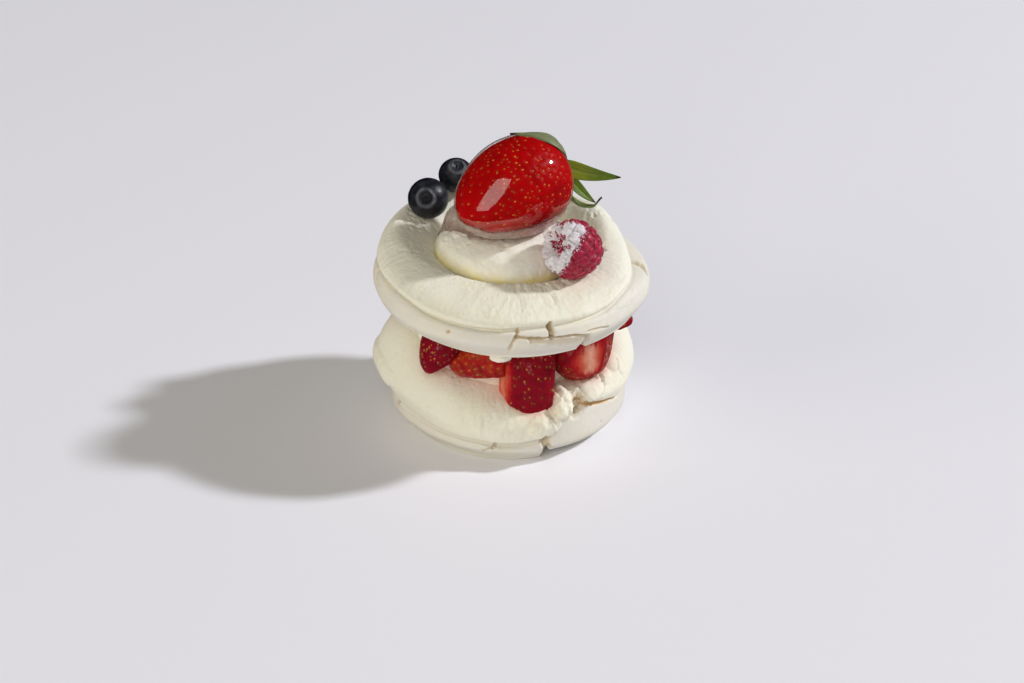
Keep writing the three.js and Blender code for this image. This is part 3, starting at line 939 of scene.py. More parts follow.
def nest_outline(nest, theta):
    """The outline of a nest at each angle as fourteen (radius, height) points: underside,
    foot, seam, coil, crest and hollow."""
    names = ("footRadius", "footEdge", "seamRadius", "coilRadius", "crestRadius", "crestHeight")
    foot, edge, seam, coil, crest, crest_high = (around(nest[n], theta) for n in names)
    base, hollow = nest["underside"], nest["hollowRadius"]
    widest = base + nest["footWidest"]
    seam_z = base + along_row(nest["seam"], np.degrees(theta))
    crest_z = base + crest_high
    hollow_z = base + nest["hollowHeight"]
    rise = crest_z - seam_z
    return (
        (0, base),
        (edge * 0.5, base),
        (edge - 2, base),
        (edge + 0.4, base + 0.9),
        (foot, widest),
        (foot * 0.8 + seam * 0.2 + 0.2, widest + (seam_z - widest) * 0.7),
        (seam, seam_z),
        (coil, seam_z + rise * 0.36),
        (coil * 0.68 + crest * 0.32, seam_z + rise * 0.76),
        (crest, crest_z),
        ((crest + hollow) / 2, (crest_z + hollow_z) / 2 + 0.8),
        (hollow, hollow_z),
        (hollow * 0.5, hollow_z - 1),
        (0, hollow_z - 1),
    )


def unrolled(degrees, middle):
    """How far round the nest each place is from an angle, in millimetres."""
    return np.radians((degrees - middle + 180) % 360 - 180) * UNROLLED


def crack_shares(degrees, height, cracks, jag):
    """For each crack, how deep, how beige and how browned it makes each place: fully near
    its line, fading out a little beyond half its width. The side of the nest is unrolled
    for it, and a jagged shift roughens its edges."""
    for width, depth, beige, browned, line in cracks:
        middle = line[len(line) // 2][0]
        x = unrolled(degrees, middle)
        near = np.full(x.shape, 99.0)
        corners = [(unrolled(angle, middle), z) for angle, z in line]
        for (x0, z0), (x1, z1) in zip(corners, corners[1:]):
            wide, high = x1 - x0, z1 - z0
            t = ((x - x0) * wide + (height - z0) * high) / (wide**2 + high**2)
            t = np.clip(t, 0, 1)
            near = np.minimum(near, np.hypot(x - x0 - t * wide, height - z0 - t * high))
        half = width / 2
        inner = 1 - smooth(half * 0.4, half * 1.25, near + jag * min(half, 1))
        yield depth * inner, beige * inner, browned * inner


def lobe_bulges(degrees, height, lobes, jag):
    """For each lobe, how far out it pushes each place and how crumbly it makes it: a dome,
    a power of one less the squares of the shares across and up, with a softer edge where
    it is crumbly."""
    for middle, z, half_width, half_height, far, crumbly in lobes:
        x = unrolled(degrees, middle) / half_width
        y = (height - z) / half_height
        inside = 1 - x * x - y * y + 0.3 * jag
        dome = np.clip(inside, 0, 1) ** (0.5 + 0.3 * crumbly)
        yield far * dome, crumbly * smooth(0.1, 0.5, dome)


def nest_shape(nest, settings, seed):
    """A nest as a grid: its outline turned round the axis, then moved along its normals by
    piping wobble, broken lobes, drag marks, pits and cracks. Returns the grid and its
    fields: beige and browned (inside cracks), foot (below the seam), and the ring that
    streaks follow: a place on a circle, and the length of the outline up to it."""
    share = np.arange(settings.turns) / settings.turns
    theta = TAU * share - FRONT_DETAIL * np.cos(TAU * share)
    grid, station = turned_grid(nest_outline(nest, theta), theta, OUTLINE_STEPS)
    steps = np.linalg.norm(np.diff(grid, axis=1, prepend=grid[:, :1]), axis=-1)
    angle, along = np.broadcast_arrays(theta[:, None], np.cumsum(steps, axis=1))
    ring = np.stack([UNROLLED * np.cos(angle), UNROLLED * np.sin(angle), along], -1)
    grid[..., 2] = np.maximum(grid[..., 2], nest["underside"])
    height = grid[..., 2]
    degrees = (np.degrees(angle) + 180) % 360 - 180

    # a station counts the outline's points: the foot's edge is 3, the seam 6, the crest 9
    # and the hollow 11
    outside = smooth(2.6, 3.6, station) * (1 - smooth(11, 12, station))
    side = smooth(2.6, 3.2, station) * (1 - smooth(8.2, 9, station))
    above = height - nest["underside"] - along_row(nest["seam"], degrees)
    coil = smooth(0, 1.2, above) * outside
    jag = 0.34 * noise(grid, 1.3, seed + 50) + 0.2 * noise(grid, 0.6, seed + 51)

    out = settings.wobble / MM * rough(grid, 15, seed, 2) * outside
    # the coil laps over the foot: a fine crease with a lip above it
    middle, half = nest["merged"]
    lap = side * (1 - bell(unrolled(degrees, middle), half))
    out += (0.15 * bell(above - 1.4, 1.2) - 0.8 * bell(above + 0.1, 0.36)) * lap
    broken = np.zeros_like(out)
    for bulge, crumbly in lobe_bulges(degrees, height, nest["lobes"], jag):
        out += bulge * outside
        broken = np.maximum(broken, crumbly)
    out += 0.34 * rough(grid, 1.0, seed + 20, 2) * broken * outside
    # drag marks run up the slope of the coil
    marks = noise(ring * (1, 1, 0.2), 1.0, seed + 30)
    marks += 0.6 * noise(ring * (1, 1, 0.25), 0.55, seed + 31)
    patch = smooth(-0.4, 0.4, noise(grid, 11, seed + 33)) * (0.5 + 1.3 * bell(above - 3, 4))
    out += settings.streaks / MM * marks * patch * coil
    # wrinkles where the piping was pulled
    middle, spread = nest["wrinkled"]
    folds = bell((degrees - middle) / spread, 1.0) * bell(above - 6.5, 6) * coil
    out += settings.wrinkles / MM * rough(ring * (1, 1, 0.6), 2.2, seed + 36, 3) * folds
    # fine pits in patches, and more of them inside the crest
    pits = np.maximum(noise(grid, 1.0, seed + 40) - 0.25, 0)
    pits *= smooth(-0.3, 0.5, noise(grid, 8, seed + 41))
    bubbly = 0.35 + 2.2 * smooth(8.4, 9.2, station) * smooth(-0.6, 0.2, noise(grid, 9, seed + 42))
    out -= settings.pits / MM * 2 * pits * bubbly * coil
    out -= 0.05 * noise(grid, 1.2, seed + 43) * outside
    beige, browned = np.zeros_like(out), np.zeros_like(out)
    wall = smooth(1.6, 2.3, station) * (1 - smooth(8.2, 9, station))
    for depth, pale, brown in crack_shares(degrees, height, nest["cracks"], jag):
        out -= depth * wall
        beige = np.maximum(beige, pale * wall)
        browned = np.maximum(browned, brown * wall)

    foot = (1 - smooth(-0.2, 0.5, above)) * side

    grid = grid + grid_normals(grid) * out[..., None]
    lift = along_row(nest["lift"], degrees) * smooth(1, 2, station)
    lift = lift * (1 - smooth(3.4, 4.6, station))
    grid[..., 2] = np.maximum(grid[..., 2], nest["underside"]) + lift
    grid[..., :2] += nest["centre"]
    return grid, {"beige": beige, "browned": browned, "foot": foot, "ring": ring * MM}


def meringue_look(settings):
    """Baked meringue: a warm off-white with a paler, smoother foot, beige inside its
    cracks, browned along broken edges, pink where fruit lies on it, and painted shade
    in its pits."""
    look = Look("meringue")
    s = settings
    foot = look.field("foot")
    coil = 1 - foot
    broad = look.noise(15, 2, 1)
    fine = look.noise(1.0, 4, 2)
    grain = look.noise(0.38, 2, 5)
    ring = look.node("Attribute", {"attribute_name": "ring"}, output="Vector")
    streaks = look.noise(0.9, 3, 6, stretch=(1, 1, 0.16), place=ring)
    craters = look.cells(1.15, 3).step(0.08, 0.4)
    crater_share = look.noise(7, 2, 8).step(0.42, 0.62) * coil
    base = look.layers(
        look.mix(foot, s.crust, s.foot),
        (broad.step(0.42, 0.7) * 0.4, (0.86, 0.82, 0.62)),
        (fine.step(0.5, 0.8) * 0.2, (0.78, 0.74, 0.62)),
        # painted shade: a little darker and browner in the middles of the pits, where the bump is
        # lowest
        ((1 - craters) * crater_share * 0.06, (0.66, 0.58, 0.4)),
        (look.field("beige"), s.inside),
        (look.field("browned"), s.toast),
        (look.field("juice"), s.juice),
    )
    height = fine * 0.1 + grain * 0.05
    height = height + streaks * coil * broad.step(0.4, 0.65) * 0.14 + craters * crater_share * 0.07
    height = height * (1 - foot * 0.6)
    roughness = 0.58 - foot * 0.06 + fine * 0.12
    return look.finish(
        base, roughness, look.bump(height), subsurface_weight=0.1,
        subsurface_radius=(1.0, 0.75, 0.45), subsurface_scale=0.0012, specular_ior_level=0.3,
    )


def add_nest(name, nest, settings, material, seed):
    """Shapes one nest and adds it as a piece, stained where cut fruit is near."""
    grid, fields = nest_shape(nest, settings, seed)
    near = np.maximum(distance_to_fruit(grid), 0)
    blot = 0.8 + 0.5 * noise(grid, 2.5, seed + 77)
    stain = (0.65 * bell(near, 1.4) + 0.25 * bell(near, 4)) * blot
    fields["juice"] = np.clip(stain, 0, 1) * (nest is LOWER)
    add_grid(name + "_crust", grid, material, name, fields)


class PAVLOVA_OT_meringue(bpy.types.Operator):
    """Adds the two piped meringue nests"""

    bl_idname = "pavlova.meringue"
    bl_label = "Meringue nests"

    def execute(self, context):
        settings = context.scene.pavlova.meringue
        material = meringue_look(settings)
        add_nest("meringue_lower", LOWER, settings, material, 3)
        add_nest("meringue_upper", UPPER, settings, material, 5)
        return {"FINISHED"}


# ---- Cream ---------------------------------------------------------------


def swirl_fold(theta, share):
    """The fold that winds inwards over the swirl: a wave round it that turns by most of a
    round between the middle, where the share is 0, and the edge, where it is 1."""
    return SWIRL["fold"] * np.sin(theta + share * TAU * 0.8)


def swirl_height(radius, theta):
    """Top of the swirl over each place of its disc: a dome that falls to its edge, with
    its fold."""
    share = np.clip(radius / around(SWIRL["radius"], theta), 0, 1)
    top, edge = SWIRL["top"], SWIRL["edge"]
    shares = (0, 0.34, 0.66, 0.9, 1)
    dome = np.interp(share, shares, (top, top - 0.8, edge + 7.3, edge + 4.4, edge))
    return dome + swirl_fold(theta, share) * np.interp(share, shares, (0, 0.5, 0.8, 0.4, 0))


def swirl_grid(settings):
    """The swirl: the outline of the dome turned round, then wobble, folds and bubbles
    along its normals. Also returns how yellow it is: a yellow tint round its edge."""
    theta = np.radians(np.arange(360))
    radius = around(SWIRL["radius"], theta)
    bottom, edge, top = (SWIRL[k] for k in ("bottom", "edge", "top"))
    points = (
        (0, bottom),
        (radius * 0.6, bottom),
        (radius - 1.5, bottom + 0.7),
        (radius, edge),
        (radius * 0.9, edge + 4.4 + swirl_fold(theta, 0.86) * 0.4),
        (radius * 0.66, edge + 7.3 + swirl_fold(theta, 0.6) * 0.8),
        (radius * 0.34, top - 0.8 + swirl_fold(theta, 0.3) * 0.5),
        (0, top),
    )
    grid, station = turned_grid(points, theta, (2, 4, 6, 20, 30, 34, 16))
    top_side = smooth(2.6, 3.4, station)
    out = settings.wobble / MM * rough(grid, 10, 61, 3) * top_side
    pulled = rough(grid @ LATTICE_TURN * (1, 0.5, 1), 3.2, 71, 3)
    out += 0.4 * pulled * smooth(-0.5, 0.4, noise(grid, 8, 75)) * top_side
    bubbles = np.maximum(noise(grid, 1.2, 66) - 0.3, 0) * smooth(-0.3, 0.5, noise(grid, 6, 67))
    out -= settings.pits / MM * 2.2 * bubbles * top_side
    out += 0.06 * rough(grid, 1.6, 69, 3) * top_side
    grid = grid + grid_normals(grid) * out[..., None]
    grid[..., :2] += SWIRL["centre"]
    rich = bell(station - 3.05, 0.36) * (0.8 + 0.4 * noise(grid, 3, 70))
    return grid, np.clip(rich, 0, 1)


def filling_grid():
    """The cream between the nests: a lumpy drum turned round the axis."""
    turns = 240
    theta = np.arange(turns) * TAU / turns
    radius = around(FILLING["radius"], theta)
    bottom, top = FILLING["bottom"], FILLING["top"]
    points = (
        (0, bottom),
        (radius * 0.6, bottom),
        (radius - 3, bottom + 2),
        (radius - 0.5, bottom + 6),
        (radius, bottom + 11),
        (radius - 0.8, top - 3),
        (radius - 3, top),
        (radius * 0.5, top),
        (0, top),
    )
    grid, station = turned_grid(points, theta, (2, 4, 6, 12, 16, 8, 4, 2))
    side = smooth(2, 3, station) * (1 - smooth(6, 7, station))
    out = (0.9 * rough(grid, 5, 81, 4) - 0.3) * side
    return grid + grid_normals(grid) * out[..., None]


def dab_shape():
    """A dab of cream pressed out under the upper nest: an uneven flattened ball, as its
    places and its faces."""
    ways, skin = ball(*BALL_PLACES["dab"])
    places = ways * DAB["half"]
    places = places * (1 + 0.16 * rough(places, 2.2, 91, 3))[:, None]
    return places + DAB["centre"], skin


def cream_look(settings):
    """Whipped cream: ivory with a satin sheen, air bubbles, a yellow tint along the
    groove by the nest and a pink stain by the fruit."""
    look = Look("cream")
    s = settings
    broad = look.noise(8, 2, 11)
    fine = look.noise(0.9, 4, 12)
    base = look.layers(
        s.cream,
        (broad.step(0.4, 0.75) * 0.4, (0.9, 0.85, 0.7)),
        (look.field("rich"), s.rich),
        (look.field("juice"), s.stained),
    )
    height = fine * 0.13 + look.cells(0.8, 14).step(0.0, 0.3) * 0.05
    return look.finish(
        base, 0.4 + fine * 0.12, look.bump(height), subsurface_weight=0.2,
        subsurface_radius=(1.0, 0.8, 0.5), subsurface_scale=0.0016, specular_ior_level=0.3,
    )


class PAVLOVA_OT_cream(bpy.types.Operator):
    """Adds the swirl on top and the cream between the nests"""

    bl_idname = "pavlova.cream"
    bl_label = "Cream"

    def execute(self, context):
        settings = context.scene.pavlova.cream
        material = cream_look(settings)
        grid, rich = swirl_grid(settings)
        fields = {"rich": rich, "juice": np.zeros_like(rich)}
        add_grid("swirl", grid, material, "cream_swirl", fields)
        grid = filling_grid()
        stain = bell(np.maximum(distance_to_fruit(grid), 0), 3) * (0.8 + 0.3 * noise(grid, 3, 93))
        fields = {"rich": np.zeros_like(stain), "juice": np.clip(stain, 0, 1)}
        add_grid("filling", grid, material, "cream_filling", fields)
        points, skin = dab_shape()
        fields = {"rich": np.zeros(len(points)), "juice": np.zeros(len(points))}
        add_piece("cream_dab", points, skin, material, None, fields)
        return {"FINISHED"}


# ---- Cut strawberries ----------------------------------------------------


def seed_look(name, settings):
    """Seeds: straw yellow to brown, each a little different."""
    look = Look(name)
    base = look.mix(look.field("tone").step(0.1, 0.9), settings.seed, settings.seed_dark)
    return look.finish(base, 0.35, specular_ior_level=0.2)


def slice_look(settings):
    """Cut strawberry: dark wet skin outside; on a cut face a red rim, then orange-red
    flesh with paler threads and a pale streak. Wet patches shine."""
    look = Look("cut_strawberry")
    s = settings
    depth, skin = look.field("depth"), look.field("skin")
    threads = look.noise(1.1, 3, 21, 0.6, (1, 1, 0.3))
    inner = depth + (threads - 0.5) * 0.22
    flesh = look.mix(inner.step(0.03, 0.22), s.rim, s.flesh)
    pale = look.field("pale") * (threads * 0.9 + 0.45)
    flesh = look.mix(pale * inner.step(0.02, 0.14), flesh, s.heart)
    ripe = look.layers(
        s.skin,
        (look.field("bright"), s.bright_skin),
        (look.noise(3.5, 2, 22).step(0.4, 0.7) * 0.5, (0.14, 0.002, 0.01)),
        (look.field("halo") * look.field("bright") * 0.6, (0.55, 0.13, 0.03)),
    )
    base = look.mix(skin, flesh, ripe)
    grain = look.noise(0.6, 3, 23)
    wet = look.noise(3.4, 2, 26).step(0.46, 0.58) * grain.step(0.42, 0.6)
    height = grain * 0.3 + look.noise(2.2, 2, 24) * 0.25
    return look.finish(
        base, 0.34 + look.noise(1.5, 2, 25) * 0.16, look.bump(height), subsurface_weight=0.06,
        subsurface_radius=(1.0, 0.2, 0.1), subsurface_scale=0.001, specular_ior_level=0.06,
        coat_weight=wet, coat_roughness=0.14,
    )


def seed_places(egg, spacing, seed):
    """Seed directions on an egg: a golden spiral with about that spacing over its skin,
    crowded towards the tip, each seed shifted at random and a few left out."""
    area = 4 * math.pi * egg["radius"] * (egg["radius"] + egg["tip"] + egg["stem"]) / 3
    ways = spiral_ways(int(area / (0.87 * spacing**2)))
    draw = np.random.default_rng(seed)
    ways[:, 2] -= 0.25 * (1 - ways[:, 2] ** 2)
    moved = ways + draw.normal(size=ways.shape) * 0.24 * spacing / egg["radius"]
    return unit(moved[draw.uniform(size=len(ways)) > 0.06])


def nearest_seed(ways, seeds, reach):
    """Distance over the skin from each direction to the nearest seed."""
    parts = np.array_split(ways, 40)
    cosine = np.concatenate([np.max(part @ seeds.T, axis=1) for part in parts])
    return np.arccos(np.clip(cosine, -1, 1)) * reach


def skin_normals(reach, ways):
    """Outward directions of a surface given by its reach along each direction, from the
    difference of nearby places."""
    helper = np.where(np.abs(ways[:, 2:]) < 0.9, UP, (1, 0, 0))
    first = unit(np.cross(helper, ways))
    second = np.cross(ways, first)
    step = 1e-3
    here = ways * reach(ways)[:, None]
    there = [unit(ways + step * side) for side in (first, second)]
    there = [w * reach(w)[:, None] - here for w in there]
    return unit(np.cross(there[0], there[1]))


def slice_piece(i, piece, material):
    """Adds one cut strawberry and returns the places and the axes of its seeds. Its skin
    is where its surface is as far out as it would be without the cuts."""
    uncut = {**piece, "flats": ()}

    def cut_reach(ways):
        return slice_reach(piece, ways, KNIFE_SHARPNESS)

    def uncut_share(ways):
        return cut_reach(ways) / slice_reach(uncut, ways, KNIFE_SHARPNESS)

    kind = "front_slice" if i < len(FRONT_SLICES) else "ring_slice"
    ways, faces = ball(*BALL_PLACES[kind])
    seeds = seed_places(piece["egg"], piece["gap"], 200 + i)
    gap = nearest_seed(ways, seeds, cut_reach(ways))
    share = uncut_share(ways)
    skin = smooth(0.945, 0.98, share)
    reach = cut_reach(ways) - 0.36 * bell(gap, 0.7) * skin
    world = placed(piece, ways * reach[:, None])
    uneven = 0.2 * rough(world, 3.5, 100 + i, 3) + 0.06 * noise(world, 0.8, 110 + i) * (1 - skin)
    world = world + uneven[:, None] * turned(piece, ways)
    across, width, strength = piece.get("pale", (0, 99, 0.3))
    pale = bell(world[:, 0] - piece["centre"][0] - across + 0.5 * noise(world, 2, 9), width)
    fields = {
        "depth": np.clip(1 - share, 0, 1),
        "skin": skin,
        "halo": bell(gap, 0.8) * skin,
        "bright": piece["bright"] * (1 - 0.5 * smooth(-1, 1, noise(world, 6, 7))),
        "pale": pale * strength,
    }
    name = "strawberry_slice_%d" % (i + 1)
    add_piece(name + "_fruit", world, faces, material, name, fields)
    shown = seeds[uncut_share(seeds) > 0.97]
    places = placed(piece, shown * cut_reach(shown)[:, None])
    return places, seed_axes(piece, cut_reach, shown)


def seed_axes(fruit, reach, ways):
    """The axes of seeds at directions of a fruit: laid towards its stem end, and out of
    the surface that its reach gives."""
    return turned(fruit, axes_for(UP, skin_normals(reach, ways)))


def add_seeds(name, places, axes, settings, sink):
    """Seeds as small pointed drops, laid along the fruit and half sunk in it. The drop is
    a ball that narrows towards one end."""
    shape, faces = small_ball(4)
    narrow = 1 - 0.45 * shape[:, 1:2]
    shape = shape * np.concatenate([narrow, np.ones_like(narrow), narrow], 1)
    count = len(places)
    draw = np.random.default_rng(count)
    half = settings.seed_length / MM / 2
    sizes = half * np.array([0.66, 1.0, 0.4]) * draw.uniform(0.78, 1.15, (count, 1))
    swing = draw.normal(size=(count, 1)) * 0.3
    across, along, normal = np.moveaxis(axes, 1, 0)
    swung = np.stack([across - swing * along, along + swing * across, normal], 1)
    depth = sink + draw.uniform(-0.05, 0.07, (count, 1))
    points, joined = copies(shape, faces, places - depth * normal, unit(swung), sizes)
    tone = np.repeat(draw.uniform(size=count), len(shape))
    add_piece(name, points, [joined], seed_look(name, settings), None, {"tone": tone})


class PAVLOVA_OT_slices(bpy.types.Operator):
    """Adds the cut strawberries between the nests"""

    bl_idname = "pavlova.slices"
    bl_label = "Cut strawberries"

    def execute(self, context):
        settings = context.scene.pavlova.slices
        material = slice_look(settings)
        found = [slice_piece(i, piece, material) for i, piece in enumerate(all_slices())]
        places, axes = (np.concatenate(part) for part in zip(*found))
        add_seeds("slice_seeds", places, axes, settings, sink=0.28)
        return {"FINISHED"}


# ---- Whole strawberry ----------------------------------------------------


def berry_look(settings):
    """Ripe strawberry: deep saturated red with darker patches, a little lighter round its
    seeds and by the leaves."""
    look = Look("strawberry_skin")
    s = settings
    broad = look.noise(7, 3, 31)
    base = look.layers(
        s.skin,
        (broad.step(0.4, 0.7) * 0.6, (0.3, 0.0005, 0.002)),
        (look.field("shoulder"), s.shoulder),
        (look.field("halo") * 0.35, (0.58, 0.014, 0.004)),
    )
    height = look.noise(0.8, 3, 32) * 0.06
    return look.finish(
        base, 0.4, look.bump(height), subsurface_weight=0.06,
        subsurface_radius=(1.0, 0.15, 0.08), subsurface_scale=0.0012, specular_ior_level=0.06,
    )


def glaze_look(settings):
    """Jelly glaze: clear, wet and glossy on the fruit, milky where it ran and seen edge
    on, with a painted rosy reflection of the fruit towards its right. Its shine grows
    towards the rim with the fifth power of how far it faces away."""
    look = Look("glaze")
    s = settings
    milk = look.field("milk")
    cloud = look.noise(1.7, 4, 41)
    fold = look.noise(0.9, 3, 42, 0.6, (1, 1, 2.2))
    streaky = cloud.step(0.38, 0.62) * 0.6 + fold.step(0.45, 0.7) * 0.4
    base = look.layers(
        s.jelly,
        (streaky, s.deep_jelly),
        # painted reflection of the fruit: a rosy tint in the milky glaze, stronger towards the
        # right
        (look.field("rosy") * 0.8, s.painted_reflection_jelly),
        (look.field("edge") * (fold + 0.1), s.edge_jelly),
    )
    normal = look.bump((cloud * 0.4 + fold * 0.4) * milk)
    look.finish(base, 0.2, normal, specular_ior_level=0.35)
    away = look.node("LayerWeight", None, {"Blend": 0.5}, output="Facing")
    rim = away.step(0.66, 0.88) * 0.6
    share = 1 - (1 - rim) * (1 - milk * (0.55 + streaky * 0.4))
    clear = look.node("BsdfTransparent")
    milky = look.node("MixShader", None, {0: share, 1: clear, 2: look.body()})
    mirror = look.node("BsdfGlossy", None, {"Roughness": 0.04, "Normal": normal})
    look.show(look.node("MixShader", None, {0: away**5 * 0.35 + 0.1, 1: milky, 2: mirror}))
    return look.material


def contact(points):
    """How far each place is below the line where the glaze gathers on the fruit."""
    degrees = np.degrees(np.arctan2(points[..., 1], points[..., 0]))
    return along_row(SKIRT["contact"], degrees) + 0.5 * noise(points, 1.6, 124) - points[..., 2]


def smooth_reach(ways):
    """The strawberry without its bumps: the egg, a little flatter at the front."""
    away = np.linalg.norm(turned(STRAWBERRY, ways) - unit(STRAWBERRY["flatter"]), axis=-1)
    return egg_reach(STRAWBERRY["egg"], ways) - 0.62 * bell(away * 15, 7)


def berry_reach(ways):
    """The red skin under the glaze: the smooth strawberry with slow bumps."""
    reach = smooth_reach(ways)
    return reach + 0.12 * rough(ways * reach[:, None], 9, 111, 3)


def add_strawberry(settings):
    """The whole strawberry, with a dimple round each seed, and its seeds."""
    egg = STRAWBERRY["egg"]
    ways, skin = ball(*BALL_PLACES["strawberry"])
    seeds = seed_places(egg, settings.seed_gap / MM, 7)
    gap = nearest_seed(ways, seeds, egg_reach(egg, ways))
    reach = berry_reach(ways) - settings.dimple / MM * bell(gap, 0.8)
    add_piece(
        "strawberry_body", placed(STRAWBERRY, ways * reach[:, None]), skin,
        berry_look(settings), "strawberry_whole",
        {"halo": bell(gap, 0.7), "shoulder": smooth(0.6, 0.97, ways[:, 2]) * 0.7},
    )
    places = placed(STRAWBERRY, seeds * berry_reach(seeds)[:, None])
    axes = seed_axes(STRAWBERRY, lambda w: egg_reach(egg, w), seeds)
    add_seeds("strawberry_seeds", places, axes, settings, sink=0.32)


def add_glaze(settings, material):
    """The clear coat over the skin: thicker on one side, with slow waves and a swelling
    below the line where the glaze gathers."""
    ways, faces = ball(*BALL_PLACES["glaze"])
    reach = smooth_reach(ways)
    skin = placed(STRAWBERRY, ways * reach[:, None])
    low = contact(skin)
    side = smooth(0.35, 0.95, turned(STRAWBERRY, ways) @ unit(STRAWBERRY["thickSide"]))
    coat = settings.glaze / MM + 0.2 * side + 0.07 * rough(skin, 8, 121, 2)
    swelling = 0.6 * smooth(0, 6, low) + 0.25 * rough(skin, 1.8, 126, 3) * smooth(0, 2, low)
    points = placed(STRAWBERRY, ways * (reach + coat + swelling)[:, None])
    fields = {
        "milk": smooth(0, 1.1, low),
        # painted reflection of the fruit, growing towards the right
        "rosy": smooth(-1, 9, points[:, 0] - 0.3 * low),
        "edge": bell(low - 0.6, 0.8),
    }
    add_piece("strawberry_glaze", points, faces, material, None, fields)


def add_skirt(material):
    """Glaze that ran down onto the swirl: a closed body whose top is drawn from under the
    fruit to its rippled edge on the cream, a little hollow, and whose underside lies just
    inside the cream."""
    turns, steps = 240, 34
    theta = np.arange(turns) * TAU / turns
    ripple = 0.35 * np.sin(7 * theta) + 0.2 * np.sin(17 * theta)
    rows = (along_row(SKIRT[k], np.degrees(theta)) for k in ("edge", "innerHeight", "hollow"))
    edge, inner_height, hollow = rows
    share = np.linspace(0, 1, steps)
    inner = SKIRT["innerRadius"]
    radius = inner + np.outer(edge + ripple - inner, share)
    round_way = np.stack([np.cos(theta), np.sin(theta)], -1)[:, None]
    flat = SKIRT["centre"] + radius[..., None] * round_way
    x, y = np.moveaxis(flat - SWIRL["centre"], -1, 0)
    ground = swirl_height(np.hypot(x, y), np.arctan2(y, x))[..., None]
    climb = (inner_height[:, None, None] - ground) * ((1 - share) ** hollow[:, None])[..., None]
    top = np.concatenate([flat, ground + climb], -1)
    top[..., 2] += (0.5 + 0.3 * rough(top, 2.4, 128, 3)) * np.sqrt(1 - share**6)
    under = np.concatenate([flat, ground - 0.4], -1)
    grid = np.concatenate([under, top[:, ::-1]], 1)
    rim = bell(np.concatenate([share, share[::-1]]) - 0.94, 0.07)
    fields = {
        "milk": np.full(grid.shape[:2], 0.9),
        # painted reflection of the fruit, growing towards the right
        "rosy": smooth(-1, 9, grid[..., 0]),
        "edge": np.repeat(rim[None], turns, 0),
    }
    add_grid("glaze_skirt", grid, material, None, fields)


class PAVLOVA_OT_strawberry(bpy.types.Operator):
    """Adds the whole strawberry, its seeds and its glaze"""

    bl_idname = "pavlova.strawberry"
    bl_label = "Glazed strawberry"

    def execute(self, context):
        settings = context.scene.pavlova.strawberry
        add_strawberry(settings)
        material = glaze_look(settings)
        add_glaze(settings, material)
        add_skirt(material)
        return {"FINISHED"}


# ---- Leaves --------------------------------------------------------------


def leaf_sheet(root, leaf):
    """A leaf without thickness: a bent line from the root to the tip, with a width that
    swells and comes to a point, cupped across, with a sunk midrib and fine lengthwise
    veins. Also gives the way its face looks all along it."""
    steps, across = LEAF_PLACES
    t = np.linspace(0.004, 0.996, steps)[:, None]
    root, bend, tip = (np.asarray(p, float) for p in (root, leaf["bend"], leaf["tip"]))
    line = (1 - t) ** 2 * root + 2 * t * (1 - t) * bend + t**2 * tip
    ahead = unit((1 - t) * (bend - root) + t * (tip - bend))
    side = unit(np.cross(ahead, unit(leaf["facing"])))
    face = np.cross(side, ahead)
    line = line + leaf.get("hook", 0) * smooth(0.86, 1, t) * UP
    half = np.sin(math.pi * t ** leaf["widest"]) ** 0.75
    v = np.linspace(-1, 1, across)
    cup = leaf["cup"] * (v**2 - 0.4)
    veins = -0.14 * bell(v, 0.12) + 0.035 * np.cos(v * VEIN_WAVES)
    grid = line[:, None] + (leaf["width"] / 2 * half * v)[..., None] * side[:, None]
    return grid + (half * cup + veins)[..., None] * face[:, None], face[:, None]


def leaf_body(root, leaf):
    """A leaf as places, faces and fields: its sheet moved half its thickness to both
    sides, thinner at its rim, and joined all round. Its fields are how near a place is to
    a vein, how young it is, how grey it is under glaze with a painted sheen, and its dry end."""
    sheet, face = leaf_sheet(root, leaf)
    steps, across = LEAF_PLACES
    v = np.linspace(-1, 1, across)
    half = (CALYX["leafThickness"] / 2 * np.sqrt(np.clip(1 - v**4, 0.02, 1)))[:, None]
    loop = np.concatenate([sheet + half * face, (sheet - half * face)[:, ::-1]], 1)
    v = np.concatenate([v, v[::-1]])[:, None]
    along = np.repeat(np.linspace(0, 1, steps)[None], 2 * across, 0)
    vein = bell(v, 0.1) + 0.3 * np.cos(v * VEIN_WAVES) ** 2
    fields = {
        "vein": vein * (1 - 0.6 * along),
        "young": leaf["young"] * (1 - smooth(0.2, 0.75, along)),
        # grey under glaze, partly a painted sheen
        "dull": np.full_like(along, leaf["dull"]),
        "end": smooth(0.9, 0.985, along),
    }
    fields = {key: with_poles(value) for key, value in fields.items()}
    return with_poles(np.moveaxis(loop, 1, 0)), closed_skin(2 * across, steps), fields


def cap_body(root):
    """The cap that the leaves grow from, as places, faces and fields: a flat, slightly
    uneven ball."""
    ways, skin = ball(*BALL_PLACES["calyx"])
    ways = ways * (CALYX["radius"], CALYX["radius"], CALYX["thickness"])
    ways = ways * (1 + 0.08 * rough(ways, 2, 131, 2))[:, None]
    shades = {"vein": 0.2, "young": 0.3, "dull": 0.2, "end": 0}
    fields = {key: np.full(len(ways), float(shade)) for key, shade in shades.items()}
    return turned(STRAWBERRY, ways) + root, skin, fields


